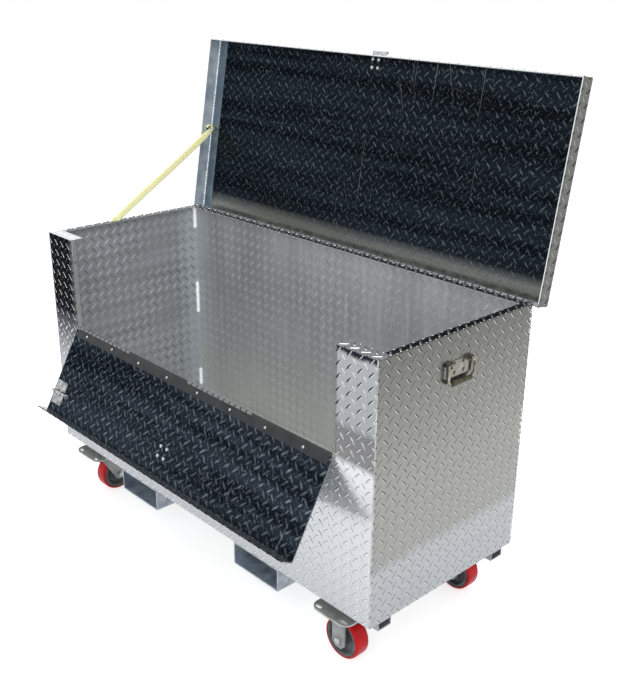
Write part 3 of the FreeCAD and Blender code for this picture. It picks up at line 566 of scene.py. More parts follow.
def tread(name, body, place, size, finishes, phase=(0.0, 0.0), holes=(), worn=1.0):
    """Raised tread over a rectangle of a panel whose corner is at the frame's origin."""
    bm = bmesh.new()
    bm.from_mesh(tile_mesh)
    bmesh.ops.scale(bm, verts=bm.verts[:], vec=(1, 1, worn))
    steps = (tread_across, tread_up)
    start = [at % step - step for at, step in zip(phase, steps)]
    bmesh.ops.translate(bm, verts=bm.verts[:], vec=(*start, 0))
    for direction, first, length, step in zip(((1, 0, 0), (0, 1, 0)), start, size, steps):
        in_rows(bm, direction, math.ceil((length - first) / step), step)
    cut_outside(bm, (0, 0), size)
    for low, high in holes:
        clear_inside(bm, low, high)
    bm.transform(place)
    return add_piece(name, bm, body, "tread_plate", *finishes)


# %% [markdown]
# The tread has to lie on the sheets of the frame, so its places are measured from them. The lid and the
# door are packed open. Their panels are described shut, which is easier to think about, and then swung
# open about their hinge lines by the ranges of the two joints.

# %% Where each panel lies
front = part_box("front_wall")
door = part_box("door_panel")
joints = {joint["name"]: joint for joint in frame["joints"]}
lid_line = Vector(joints["lid_hinge"]["pos_m"])
door_line = Vector(joints["door_hinge"]["pos_m"])
lid_opening = math.radians(joints["lid_hinge"]["range_deg"][1])
door_opening = math.radians(joints["door_hinge"]["range_deg"][1])
half_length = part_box("right_wall")[1].x
front_y = front[0].y
back_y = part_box("back_wall")[1].y
low_z = front[0].z
rim_z = front[1].z
plate = 0.003
post_width = 0.140
sill_to_hinge = 0.007
sill_z = door_line.z - sill_to_hinge
door_half = (door[1].x - door[0].x) / 2


def swung(line, angle, shut):
    """Matrix of a shut panel, turned about a hinge line along X."""
    return Matrix.Translation(line) @ Matrix.Rotation(angle, 4, "X") @ Matrix.Translation(-line) @ shut


def lid_place(shut):
    """Matrix of a panel on the shut lid, taken to the open lid."""
    return swung(lid_line, -lid_opening, shut)


def door_place(shut):
    """Matrix of a panel on the shut door, taken to the hanging door."""
    return swung(door_line, door_opening, shut)


print("box", round(2 * half_length, 3), "by", round(back_y - front_y, 3), "by", round(rim_z - low_z, 3))

# %% [markdown]
# Each wall gets one sheet of bars, a hair off its face so that the two never flicker. The phase says where
# the first falling bar stands, so that the pattern runs on from the sill into both posts. The bars under
# the shut lid stand lower, because the lid has to come down on them.

# %% Tread on the walls
rim_flange = 0.025
post_cap = 0.047
hair = 0.00005
under_lid = 0.6                  # share of their height that the bars under the lid keep
on_front = (0.0055, 0.0260)      # where the falling bars stand, from the corner of the box
on_side = (-0.0027, 0.0036)
on_side_rim = (0.0125, 0.01)
on_back_rim = (0.0, 0.0125)
handle_room = 0.004              # bars are left out this far round the handle's plate
handle_drop = 0.036              # and this far under it, where the bail hangs
hinge_room = 0.032               # and this far under the back rim, for the lid's hinge
to_front, to_back, to_right, to_left, to_top = (0, -1, 0), (0, 1, 0), (1, 0, 0), (-1, 0, 0), (0, 0, 1)
rims = (rim_bars, rim_bars)
side_depth = back_y - front_y - plate

tread("tread_front_sill", "box", panel_frame((-half_length, front_y - hair, low_z), to_right, to_front),
      (2 * half_length, sill_z - low_z), cool, on_front)
for label, start, finishes in (("left", -half_length, (left_post_reflection_bars, left_post_reflection_bars)),
                               ("right", half_length - post_width, (post_falling, post_rising))):
    phase = (on_front[0] - (start + half_length), on_front[1] - (sill_z - low_z))
    tread(f"tread_{label}_post", "box", panel_frame((start, front_y - hair, sill_z), to_right, to_front),
          (post_width, rim_z - sill_z), finishes, phase)
    tread(f"tread_{label}_cap", "box", panel_frame((start, front_y, rim_z + hair), to_right, to_top),
          (post_width, post_cap), rims, phase, worn=under_lid)
handle_low, handle_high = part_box("right_handle_plate")
hole_low = (handle_low.y - front_y - plate - handle_room, handle_low.z - low_z - handle_drop)
hole_high = (handle_high.y - front_y - plate + handle_room, handle_high.z - low_z + handle_room)
mirrored_hole = ((side_depth - hole_high[0], hole_low[1]), (side_depth - hole_low[0], hole_high[1]))
tread("tread_right_wall", "box", panel_frame((half_length + hair, front_y + plate, low_z), to_back, to_right),
      (side_depth, rim_z - low_z), warm, on_side, [(hole_low, hole_high)])
tread("tread_left_wall", "box", panel_frame((-half_length - hair, back_y, low_z), to_front, to_left),
      (side_depth, rim_z - low_z), warm, on_side, [mirrored_hole])
tread("tread_back_wall", "box", panel_frame((half_length - plate, back_y + hair, low_z), to_left, to_back),
      (2 * (half_length - plate), rim_z - low_z - hinge_room), cool, on_front)
for label, start in (("left", -half_length), ("right", half_length - rim_flange)):
    side_rim = panel_frame((start, front_y + post_cap, rim_z + hair), to_right, to_top)
    tread(f"tread_{label}_rim", "box", side_rim, (rim_flange, side_depth - post_cap), rims, on_side_rim,
          worn=under_lid)
back_rim = panel_frame((plate - half_length, back_y - rim_flange, rim_z + hair), to_right, to_top)
tread("tread_back_rim", "box", back_rim, (2 * (half_length - plate), rim_flange), rims, on_back_rim,
      worn=under_lid)

# %% [markdown]
# The lid is a shallow pan, so its top and its four skirts each take a sheet of bars. Bars are left out at
# the places where the bolts of the hasp and of the staple sit.

# %% Tread on the lid and the door
lid_half = 0.785
lid_set_back = 0.013
lid_past_back = 0.015
lid_gap = 0.001
lid_rise = 0.048
lid_front = front_y + lid_set_back
lid_back = back_y + lid_past_back
lid_low = rim_z + lid_gap
lid_top = lid_low + lid_rise
bend = 0.005                     # the bars stop short of a folded edge
top_half = lid_half - bend
hasp_room = ((top_half - 0.022, 0.0), (top_half + 0.046, 0.05))
tread("tread_lid_top", "lid",
      lid_place(panel_frame((-top_half, lid_front + bend, lid_top + hair), to_right, to_top)),
      (2 * top_half, lid_back - lid_front - 2 * bend), cool, holes=[hasp_room])
skirt_height = lid_top - lid_low - bend
lid_depth = lid_back - lid_front
for label, corner, across, away, length, finishes in (
        ("front", (-lid_half, lid_front - hair), to_right, to_front, 2 * lid_half, cool),
        ("back", (lid_half, lid_back + hair), to_left, to_back, 2 * lid_half, cool),
        ("right", (lid_half + hair, lid_front), to_back, to_right, lid_depth, warm),
        ("left", (-lid_half - hair, lid_back), to_front, to_left, lid_depth, warm)):
    tread(f"tread_lid_{label}", "lid", lid_place(panel_frame((*corner, lid_low), across, away)),
          (length, skirt_height), finishes)
hinge_leaf_room = 0.014          # the door's bars start this far above the sill
door_gap = 0.007
door_flange = 0.040
door_low = sill_z + hinge_leaf_room
door_top = rim_z - door_gap
staple_room = ((door_half - 0.012, 0.19), (door_half + 0.036, 0.24))
tread("tread_door", "door",
      door_place(panel_frame((-door_half, front_y - hair, door_low), to_right, to_front)),
      (2 * door_half, door_top - bend - door_low), cool, holes=[staple_room])
tread("tread_door_flange", "door",
      door_place(panel_frame((-door_half, front_y + bend, door_top + hair), to_right, to_top)),
      (2 * door_half, door_flange - bend), cool)

# %% [markdown]
# The back of the sheet is smooth with faint marks where the bars were pushed up. Inside the box it is a
# soft mid grey with wide bands and faint brushing. The marks are the mask of the bars again: the rising
# ones get a painted highlight and the falling ones painted shade, because bumps alone would be too faint to
# see. Near some corners and low down the sheet is painted lighter, as painted light.

# %% Inner faces
UPRIGHT_FRONT = (math.radians(-90), 0, 0)
UPRIGHT_SIDE = (0, math.radians(90), 0)


def flat_place(tree, place, turn, centre=(0, 0, 0)):
    """Place on the part, moved and turned so that a sheet lies in the XY plane."""
    return turned(tree, vector_node(tree, "SUBTRACT", place, centre), turn)


def plain_metal(name, colour, dark):
    """Dull sheet metal with blotches."""
    material, tree, place = new_material(name)
    blotch = ramp(tree, streaks(tree, place, (22, 22, 22), 4.0), 0.35, 0.68)
    finish_material(tree, {
        "Base Color": mixed(tree, blotch, colour, dark), "Metallic": 0.2, "Roughness": 0.45})
    return material


def inner_sheet(name, colour, turn, brushing, bands, corner=None, low_light=0.0, strength=0.8):
    """Mill-finished back of the sheet: marks of the bars as painted highlight and shade, wide bands and faint
    brushing along one way.

    A corner is an axis with the two places between which the sheet is painted lighter, as painted light. The
    low light is how much painted warm light lies on the lower part."""
    material, tree, own = new_material(name)
    place = flat_place(tree, own, turn)
    falling, rising = bars(tree, place, 0.45)
    shade = tinted(colour, (0.45, 0.45, 0.45))
    light = tinted(colour, (1.7, 1.7, 1.7))
    cloud = ramp(tree, streaks(tree, place, bands), 0.36, 0.64)
    fine = streaks(tree, place, brushing, 2.0)
    base = mixed(tree, times(tree, cloud, 0.30), colour, shade)
    base = mixed(tree, times(tree, ramp(tree, fine, 0.54, 0.72), 0.22), base, light)
    if low_light:
        lower = ramp(tree, height_of(tree, own, 0.05), 0.72, 0.30, 0.0, low_light)
        base = mixed(tree, lower, base, tinted(light, (1.0, 0.955, 0.87)))
    if corner:
        axis, start, end = corner
        along = make_node(tree, "ShaderNodeSeparateXYZ", {0: own}).outputs[axis]
        base = mixed(tree, ramp(tree, along, start, end, 0.0, 0.5), base, light)
    patchy = ramp(tree, streaks(tree, place, (5, 5, 5)), 0.40, 0.60, 0.25, 1.0)
    grain = ramp(tree, streaks(tree, place, (130, 130, 130), 4.0), 0.4, 0.62)
    # Painted highlight on the rising marks and painted shade on the falling ones.
    lit = times(tree, times(tree, rising, patchy), ramp(tree, grain, 0, 1, 0.5 * strength, strength))
    base = mixed(tree, lit, base, light)
    sunk = times(tree, times(tree, falling, patchy), ramp(tree, grain, 0, 1, 0.8 * strength, 0.35 * strength))
    base = mixed(tree, sunk, base, shade)
    dents = times(tree, math_node(tree, "MAXIMUM", falling, rising), -1.0)
    finish_material(tree, {
        "Base Color": base, "Metallic": 0.35, "Roughness": ramp(tree, fine, 0.3, 0.7, 0.36, 0.52),
        "Normal": bumped(tree, dents, 0.0006, 0.5)})
    return material


# Each wall is painted lighter towards the corner given, and the long wall gets painted warm light low down.
inner_upright = inner_sheet("inner_long_wall", linear(178, 182, 185), UPRIGHT_FRONT, (70, 6, 60), (7, 1.5, 1),
                            ("X", -0.64, -0.767), 0.6, 0.7)
inner_side = inner_sheet("inner_end_wall", linear(184, 189, 193), UPRIGHT_SIDE, (240, 3, 12), (16, 1.2, 1),
                         ("Y", 0.21, 0.281), 0.1, 1.2)
inner_floor = inner_sheet("inner_floor", linear(208, 209, 207), (0, 0, 0), (12, 240, 12), (3, 9, 1),
                          strength=0.4)
# Painted light: the inner faces of the fork pockets are painted a paler blue-grey.
pocket_inside = plain_metal("pocket_inner_face", linear(180, 193, 206), linear(112, 126, 142))
# Painted reflection: the inner faces of the lid's skirts are painted pale blue-grey, as a mirror.
skirt_blue = plain_metal("lid_skirt_inner", linear(206, 216, 224), linear(158, 172, 184))
# Painted reflection: the inner face of the door's hinge leaf is painted near-black like the door's back.
leaf_dark = plain_metal("dark_leaf", linear(42, 46, 50), linear(20, 24, 28))
print("inner sheets:", ", ".join(m.name for m in (inner_upright, inner_side, inner_floor)))

# %% [markdown]
# The backs of the lid and of the door are polished, and their near-black is a painted dark reflection.
# Painted glints lie along the pushed-up marks in soft painted bands of sheen. Handling has left thin
# scratches, which are noise stretched so far that only hairs of it pass a narrow ramp. The lid's lower edge
# has a painted reflection as a grey haze, and its left edge a blue-grey strip that is a painted reflection of
# the skirt.

# %% Dark backs of the lid and the door
lid_inside = 0.782


def dark_sheet(name, turn, centre, base, glint, scratches, banding, share, strips=()):
    """Polished back of the lid and the door, painted near-black as reflection: painted glints on the marks in
    bands, a grain and scratches.

    A scratch is an angle, a stretch and how rare it is. A strip is a start and a width across the sheet and
    its tone, a painted reflection."""
    material, tree, own = new_material(name)
    place = flat_place(tree, own, turn, centre)
    split = make_node(tree, "ShaderNodeSeparateXYZ", {0: place})
    falling, rising = bars(tree, place, 0.4, share)
    band = ramp(tree, streaks(tree, place, (1.0, 24, 1), 3.0), 0.40, 0.60)
    wisps = ramp(tree, streaks(tree, place, (38, 38, 38), 4.0), 0.40, 0.62)
    grain = ramp(tree, streaks(tree, place, (240, 240, 240), 4.0), 0.5, 0.72)
    colour = tones(tree, split.outputs["Y"], base)
    # A dim glint colour, laid on as painted sheen in the soft bands; the grain mixes it in too.
    glow = tinted(glint, (0.12, 0.145, 0.17))
    colour = mixed(tree, times(tree, band, banding), colour, glow)
    colour = mixed(tree, times(tree, grain, 0.7), colour, glow)
    patch = times(tree, wisps, ramp(tree, band, 0.0, 1.0, 0.45, 1.0))
    # Painted glints on the rising and the falling marks, brightest in the bands.
    colour = mixed(tree, times(tree, rising, ramp(tree, patch, 0.0, 1.0, 0.06, 0.6)), colour, glint)
    colour = mixed(tree, times(tree, falling, ramp(tree, patch, 0.0, 1.0, 0.05, 0.45)), colour, glint)
    # Specks of painted glint.
    specks = ramp(tree, streaks(tree, place, (150, 90, 90), 2.0), 0.62, 0.68)
    colour = mixed(tree, times(tree, specks, 0.3), colour, glint)
    for angle, stretch, rare in scratches:
        hairs = ramp(tree, streaks(tree, turned(tree, place, (0, 0, angle)), stretch, 4.0), rare, rare + 0.05)
        colour = mixed(tree, times(tree, hairs, 0.6), colour, linear(150, 152, 150))
    for start, width, tone in strips:
        strip = times(tree, ramp(tree, split.outputs["X"], start, start + 0.002),
                      ramp(tree, split.outputs["X"], start + width, start + width - 0.003))
        cloudy = ramp(tree, streaks(tree, place, (14, 14, 14)), 0.3, 0.7, 0.75, 1.0)
        colour = mixed(tree, times(tree, strip, cloudy), colour, tone)
    dents = times(tree, math_node(tree, "MAXIMUM", falling, rising), -1.0)
    finish_material(tree, {
        "Base Color": colour, "Metallic": 1.0, "Specular Tint": (0.4, 0.4, 0.4, 1),
        "Roughness": ramp(tree, wisps, 0.0, 1.0, 0.28, 0.42), "Normal": bumped(tree, dents, 0.0006, 0.4)})
    return material


# Painted reflection: the lid is near-black over most of its back, with a grey haze near its hinge edge where
# it mirrors the back rim.
lid_reflection_tones = graded((-0.62, 8, 11, 14), (-0.10, 10, 14, 19), (-0.062, 24, 29, 34), (-0.042, 92, 94, 92),
                   (-0.015, 150, 150, 143))
lid_scratches = ((0.0, (120, 1.0, 1), 0.69), (0.32, (110, 1.4, 1), 0.71), (1.25, (100, 2.0, 1), 0.72))
door_scratches = ((0.0, (2.0, 150, 1), 0.70), (0.25, (120, 2.2, 1), 0.70), (0.1, (90, 3.0, 1), 0.70))
# The lid's blue-grey strip at its left edge is a painted reflection of the skirt, and the door's near-black
# back is a painted dark reflection.
lid_dark = dark_sheet("lid_inner_face", (lid_opening, 0, 0), lid_line, lid_reflection_tones, linear(128, 140, 150),
                      lid_scratches, 0.3, (0.85, 0.6), [(-lid_inside, 0.046, linear(146, 160, 172))])
door_dark = dark_sheet("door_inner_face", (-door_opening + math.radians(90), 0, 0), door_line,
                       linear(16, 21, 28), linear(158, 168, 178), door_scratches, 0.5, (1.0, 0.95))
print("dark sheets:", lid_dark.name, "and", door_dark.name)

# %% [markdown]
# A wall of the frame is one mesh with an outer face, an inner face and edges, and each takes its own metal.
# A face is sorted by the way that it looks. On the lid's skirts it also matters on which side of the lid's
# middle the face stands, because one skirt's outer face looks the same way as the opposite one's inner face.

# %% Which face takes which metal


def paint_by_side(node, choose):
    """Give a frame piece several materials, each face by where it lies and which way it looks."""
    mesh = frame["nodes"][node].data
    mesh.materials.clear()
    order = []
    for polygon in mesh.polygons:
        material = choose(polygon.center, polygon.normal)
        if material not in order:
            order.append(material)
            mesh.materials.append(material)
        polygon.material_index = order.index(material)


def paint(node, material):
    """Give a whole frame piece one material."""
    paint_by_side(node, lambda centre, normal: material)


def front_side(centre, normal):
    """Front wall: folded sheet outside, a painted highlight on the turned-over top and edges, mill back."""
    if normal.y < -0.3:
        return folded_front
    if normal.z > 0.3:
        return edge_highlight
    return inner_upright if normal.y > 0.5 else edge_highlight


lid_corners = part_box("lid_pan")
lid_middle = (lid_corners[0] + lid_corners[1]) / 2
lid_out = Vector((0, math.sin(lid_opening), math.cos(lid_opening)))
door_in = Vector((0, math.cos(door_opening), math.sin(door_opening)))
skirt_reach = 0.03               # farther than this from the hinge line, a face is the lid's top sheet


def lid_side(centre, normal):
    """Lid faces: underside painted near-black and skirts' insides painted blue-grey, both painted reflection,
    a painted highlight by the hinge, bright outside.
    """
    depth = (centre - lid_line).dot(lid_out)
    if normal.dot(lid_out) < -0.5:
        return lid_dark if depth > skirt_reach else edge_highlight
    if abs(normal.x) > 0.5:
        return warm_sheet if normal.x * centre.x > 0 else skirt_blue
    inward = (centre - lid_middle).dot(normal) < 0
    return skirt_blue if inward and normal.dot(lid_out) < 0.5 else cool_sheet


paint_by_side("front_wall", front_side)
paint_by_side("back_wall", lambda c, n: cool_sheet if n.y > 0.3
              else (rim_sheet if n.z > 0.3 else inner_upright))
for label, side in (("right", 1), ("left", -1)):
    paint_by_side(f"{label}_wall", lambda c, n: warm_sheet if n.x * side > 0.3
                  else (rim_sheet if n.z > 0.3 else inner_side))
paint("floor_plate", inner_floor)
paint_by_side("lid_pan", lid_side)
paint_by_side("door_panel", lambda c, n: door_dark if n.dot(door_in) > 0.5 else cool_sheet)
print("metals of the lid:", ", ".join(m.name for m in frame["nodes"]["lid_pan"].data.materials))

# %% [markdown]
# The fittings are plated steel. Their tone shifts with the light on them and with fine brushing, and the
# casters are a duller grey than the bolts. A piano hinge is so finely divided that its knuckles are drawn
# as a stripe pattern: the place along the hinge, divided by a pitch, with a dark gap at every whole number.

# %% Plated steel and the hinges' knuckles
knuckle_pitch = 0.0254


def plated(name, colour, dark, roughness, brush=(40, 40, 900), metallic=0.9):
    """Plated or brushed steel with a fine brushing and blotches."""
    material, tree, place = new_material(name)
    blotch = ramp(tree, streaks(tree, place, (42, 42, 42), 4.0), 0.38, 0.62)
    fine = streaks(tree, place, brush, 2.0)
    finish_material(tree, {
        "Base Color": mixed(tree, times(tree, blotch, 0.6), colour, dark), "Metallic": metallic,
        "Roughness": ramp(tree, fine, 0.3, 0.7, roughness - 0.08, roughness + 0.1),
        "Normal": bumped(tree, fine, 0.0003, 0.4)})
    return material


def hinge_barrel(name):
    """Continuous hinge: short knuckles along its length with a dark gap between each two."""
    material, tree, place = new_material(name)
    along = make_node(tree, "ShaderNodeSeparateXYZ", {0: place}).outputs["X"]
    share = math_node(tree, "FRACT", math_node(tree, "DIVIDE", along, knuckle_pitch))
    gap = ramp(tree, math_node(tree, "ABSOLUTE", math_node(tree, "SUBTRACT", share, 0.5)), 0.38, 0.42)
    colour = mixed(tree, gap, linear(128, 132, 134), linear(22, 25, 28))
    finish_material(tree, {"Base Color": colour, "Metallic": 0.5, "Roughness": 0.35})
    return material


knuckled = hinge_barrel("hinge_knuckles")
bright_steel = plated("bright_plated_steel", linear(214, 217, 220), linear(150, 154, 158), 0.2, metallic=0.6)
plate_grey = plated("caster_plate_steel", linear(188, 190, 188), linear(140, 141, 138), 0.4,
                    (60, 60, 60), 0.4)
fork_grey = plated("caster_fork_steel", linear(158, 163, 162), linear(118, 121, 120), 0.36, (60, 60, 60), 0.5)
rail_metal = plated("rail_metal", linear(172, 175, 179), linear(124, 128, 132), 0.4, (20, 500, 500), 0.6)
pocket_metal = plated("pocket_metal", linear(184, 191, 199), linear(116, 126, 140), 0.34, (500, 20, 500), 0.7)
handle_metal = plated("handle_metal", linear(158, 156, 140), linear(22, 21, 16), 0.2, (60, 60, 60))
handle_base = plated("handle_plate_metal", linear(148, 147, 138), linear(96, 95, 84), 0.2, (60, 60, 60))
barrel_metal = plated("hasp_barrel_steel", linear(96, 100, 104), linear(48, 51, 56), 0.3)
latch_metal = plated("latch_plate_metal", linear(206, 208, 209), linear(44, 47, 50), 0.22, (70, 70, 70))
print("materials so far:", len(bpy.data.materials))

# %% [markdown]
# The frame names its pieces by what they are, so a finish is given to every piece whose name ends in a
# word. The pockets are then sorted again, because their inner faces are painted a paler blue-grey, painted
# light inside the shaded tubes. So are the handles' bolts, which match their plate outside the box, and the
# door's hinge leaf, whose inner face is painted near-black as a painted reflection, like the door's back.

# %% Which fitting takes which finish
by_ending = (
    (("caster_plate",), plate_grey), (("caster_fork", "kingpin"), fork_grey), (("rails",), rail_metal),
    (("fork_pocket",), pocket_metal), (("slide_bolt_plate",), latch_metal),
    (("handle_bail",), handle_metal), (("handle_plate",), handle_base), (("hasp_pin",), barrel_metal),
    (("bolts", "axle_bolt", "slide_bolt"), bright_steel),
    (("door_staple", "hasp_leaf", "hasp_strap", "strap_ring"), bright_steel),
    (("hinge_pin", "lower_leaf", "upper_leaf"), knuckled))
for endings, material in by_ending:
    for node in frame["nodes"]:
        if node.endswith(endings):
            paint(node, material)


def pocket_side(middle):
    """Rule that gives a pocket's inner faces, which look at its middle line, their own finish, painted paler
    as painted light.
    """
    def choose(centre, normal):
        to_middle = Vector((middle.x - centre.x, 0, middle.z - centre.z))
        return pocket_inside if abs(normal.y) < 0.5 and normal.dot(to_middle) > 0 else pocket_metal
    return choose


for label in ("left", "right"):
    pocket_low, pocket_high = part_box(f"{label}_fork_pocket")
    paint_by_side(f"{label}_fork_pocket", pocket_side((pocket_low + pocket_high) / 2))
paint_by_side("handle_bolts", lambda c, n: handle_base if abs(c.x) > half_length - 0.001 else bright_steel)
# The leaf's inner face takes the near-black painted reflection.
paint_by_side("door_hinge_upper_leaf", lambda c, n: leaf_dark if n.dot(door_in) > 0.5 else knuckled)
print("pieces with a finish:", sum(bool(o.data.materials) for o in frame["nodes"].values()))

# %% [markdown]
# Three finishes are no bare metal: the rubbed grip, the red polyurethane and the cast core of the wheels.
# They share one recipe of mottling and a light grain, which also makes the white weld, whose small glow is
# painted light.

# %% Grips, tyres and castings


def plain(name, colour, dark, roughness, scale=(40, 40, 40), glow=0.0):
    """Non-metal finish with mottling and a light grain, and a glow where one is given, which is painted
    light.
    """
    material, tree, place = new_material(name)
    blotch = ramp(tree, streaks(tree, place, scale), 0.35, 0.7)
    fine = streaks(tree, place, (700, 700, 700), 3.0)
    finish_material(tree, {
        "Base Color": mixed(tree, blotch, colour, dark), "Specular IOR Level": 0.25,
        "Emission Color": colour, "Emission Strength": glow,
        "Roughness": ramp(tree, fine, 0.3, 0.7, roughness - 0.06, roughness + 0.08),
        "Normal": bumped(tree, fine, 0.0003, 0.4)})
    return material


grip_paint = plain("grip_paint", linear(96, 92, 70), linear(54, 52, 40), 0.42)
red_tread = plain("red_wheel_tread", linear(212, 8, 22), linear(182, 4, 14), 0.36)
cast_core = plain("cast_wheel_core", linear(112, 114, 116), linear(62, 64, 66), 0.42)
for label in ("left", "right"):
    paint(f"{label}_handle_grip", grip_paint)
print("materials so far:", len(bpy.data.materials))

# %% [markdown]
# A wheel is turned, so its tyre and its core are each a half profile spun about the axle. The tyre is
# polyurethane with rolled shoulders on a cast core with a dished web and a broad rim. Each point of a
# profile is its distance from the wheel's middle plane and its radius.

# %% Wheels
ring_steps = 64
tyre_half = [(0.0230, 0.0556), (0.0242, 0.0562), (0.0246, 0.0578), (0.0240, 0.0598), (0.0222, 0.0616),
             (0.0195, 0.0629), (0.0160, 0.0634), (0.0060, 0.0635)]
core_half = [(0.0284, 0.0062), (0.0284, 0.0120), (0.0272, 0.0150), (0.0250, 0.0172), (0.0160, 0.0185),
             (0.0115, 0.0205), (0.0100, 0.0250), (0.0100, 0.0370), (0.0115, 0.0415), (0.0165, 0.0440),
             (0.0205, 0.0450), (0.0236, 0.0462), (0.0242, 0.0478), (0.0242, 0.0545), (0.0234, 0.0555)]


def spun_ring(half, axle, along):
    """Mirror a half profile and spin it about an axle through a point."""
    bm = bmesh.new()
    profile = half + [(-x, radius) for x, radius in reversed(half)]
    ends = [bm.verts.new((x, 0, radius)) for x, radius in profile]
    edges = [bm.edges.new((a, b)) for a, b in zip(ends, ends[1:] + ends[:1])]
    bmesh.ops.spin(bm, geom=ends + edges, cent=(0, 0, 0), axis=(1, 0, 0), dvec=(0, 0, 0),
                   angle=math.tau, steps=ring_steps, use_merge=True)
    bmesh.ops.remove_doubles(bm, verts=bm.verts[:], dist=1e-6)
    bmesh.ops.recalc_face_normals(bm, faces=bm.faces[:])
    if along == "Y":
        bmesh.ops.rotate(bm, verts=bm.verts[:], cent=(0, 0, 0), matrix=Matrix.Rotation(math.pi / 2, 3, "Z"))
    bmesh.ops.translate(bm, verts=bm.verts[:], vec=axle)
    return bm


for row in ("front", "rear"):
    for label, along in (("left", "X"), ("right", "Y")):
        caster = f"{row}_{label}"
        low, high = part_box(f"{caster}_tyre")
        axle = (low + high) / 2
        tyre = add_piece(f"{caster}_rolled_tyre", spun_ring(tyre_half, axle, along), f"{caster}_wheel",
                         "wheel_tread", red_tread, smooth=True)
        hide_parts(f"{caster}_tyre")
        core = add_piece(f"{caster}_cast_core", spun_ring(core_half, axle, along), f"{caster}_wheel",
                         "wheel_core", cast_core, smooth=True)
        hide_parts(f"{caster}_wheel_core")
print("wheel across:", round(2 * max(radius for x, radius in tyre_half), 4))

# %% [markdown]
# The lid hangs from flat webbing. A ribbon is laid from the rim up to the ring, given its thickness with
# Solidify, and woven in its material with fine ribs along and across. It waves a little and is pinched
# where it enters the ring.

# %% Webbing strap
strap_width = 0.025
strap_thickness = 0.0016
ring_gap = 0.010                 # the ribbon stops this far from the ring's middle
pinch_start = 0.93               # the pinch begins at this share of the ribbon's length
pinch_length = 0.07
pinch_by = 0.35
strap_wave = 0.0015
strap_waves = 2.3                # half waves along the ribbon
strap_cup = 0.0006
strap_low, strap_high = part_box("lid_strap")
strap_x = (strap_low.x + strap_high.x) / 2
anchor_low, anchor_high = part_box("strap_anchor")
foot = Vector((strap_x, (anchor_low.y + anchor_high.y) / 2, anchor_low.z + 0.003))
ring_low, ring_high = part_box("strap_ring")
ring = Vector((strap_x, (ring_low.y + ring_high.y) / 2, (ring_low.z + ring_high.z) / 2))
pull = (ring - foot).normalized()
across_strap = pull.cross(Vector((1, 0, 0)))


def webbing(name):
    """Yellow webbing: fine ribs along and across, a little grime and a small painted glow."""
    material, tree, own = new_material(name)
    place = flat_place(tree, own, (0, 0, 0), foot)
    along = vector_node(tree, "DOT_PRODUCT", place, pull)
    over = vector_node(tree, "DOT_PRODUCT", place, across_strap)
    ribs = math_node(tree, "SINE", times(tree, along, 3200.0))
    cords = math_node(tree, "SINE", times(tree, over, 3600.0))
    weave = times(tree, ribs, cords)
    soil = ramp(tree, streaks(tree, place, (60, 60, 60)), 0.45, 0.75)
    colour = mixed(tree, ramp(tree, weave, -1, 1), linear(248, 246, 172), linear(254, 253, 212))
    colour = mixed(tree, times(tree, soil, 0.25), colour, linear(204, 200, 120))
    # The webbing glows a little, as painted light.
    finish_material(tree, {
        "Base Color": colour, "Roughness": 0.75, "Sheen Weight": 0.3, "Emission Color": linear(248, 245, 186),
        "Emission Strength": 0.42, "Normal": bumped(tree, weave, 0.0006, 0.7)})
    return material


def thicken(ribbon):
    """Give a ribbon the webbing's thickness, half to each side."""
    thickness = ribbon.modifiers.new("thickness", "SOLIDIFY")
    thickness.thickness = strap_thickness
    thickness.offset = 0


yellow_webbing = webbing("yellow_webbing")
strap_bm = bmesh.new()
bmesh.ops.create_grid(strap_bm, x_segments=40, y_segments=4, size=0.5)
length = (ring - foot).length - ring_gap
bmesh.ops.scale(strap_bm, vec=(length, strap_width, 1), verts=strap_bm.verts[:])
bmesh.ops.translate(strap_bm, vec=(length / 2, 0, 0), verts=strap_bm.verts[:])
for vertex in strap_bm.verts:
    share = vertex.co.x / length
    vertex.co.y *= 1 - pinch_by * max(0, (share - pinch_start) / pinch_length)
    vertex.co.z += strap_wave * math.sin(share * math.pi * strap_waves)
    vertex.co.z += strap_cup * math.sin(vertex.co.y * 250)
along_strap = Matrix((pull, across_strap, pull.cross(across_strap))).transposed().to_4x4()
strap_bm.transform(Matrix.Translation(foot) @ along_strap)
webbing_strap = add_piece("webbing_strap", strap_bm, "box", "webbing", yellow_webbing, smooth=True)
thicken(webbing_strap)
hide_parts("lid_strap")
paint("strap_anchor", yellow_webbing)
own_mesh(webbing_strap)
print("strap from rim to ring:", round((ring - foot).length, 3))

# %% [markdown]
# At the top the webbing is passed through the ring and sewn back on itself, and a round washer spreads the
# ring's pull over the thin skirt. The washer is a short cylinder and the loop is a narrow strip spun about
# two thirds of a turn.

# %% Washer and sewn loop
washer_radius = 0.010
washer_thickness = 0.0016
washer_x = 0.0009 - lid_inside
loop_x = 0.0068 - lid_inside
loop_radius = 0.0125
loop_half_width = 0.0045
loop_turn = math.radians(250)
loop_opening = math.radians(125)
washer_bm = bmesh.new()
bmesh.ops.create_cone(washer_bm, cap_ends=True, segments=32, radius1=washer_radius,
                      radius2=0.9 * washer_radius, depth=washer_thickness)
bmesh.ops.rotate(washer_bm, verts=washer_bm.verts[:], cent=(0, 0, 0),
                 matrix=Matrix.Rotation(math.pi / 2, 3, "Y"))
bmesh.ops.translate(washer_bm, verts=washer_bm.verts[:], vec=(washer_x, ring.y, ring.z))
add_piece("ring_washer", washer_bm, "lid", "hardware", leaf_dark)
loop_bm = bmesh.new()
edge_ends = [loop_bm.verts.new((x, 0, loop_radius)) for x in (-loop_half_width, loop_half_width)]
strip_edge = loop_bm.edges.new(edge_ends)
bmesh.ops.spin(loop_bm, geom=edge_ends + [strip_edge], cent=(0, 0, 0), axis=(1, 0, 0), dvec=(0, 0, 0),
               angle=loop_turn, steps=20, use_merge=False)
facing = math.atan2(pull.z, pull.y) - math.pi / 2 - loop_opening
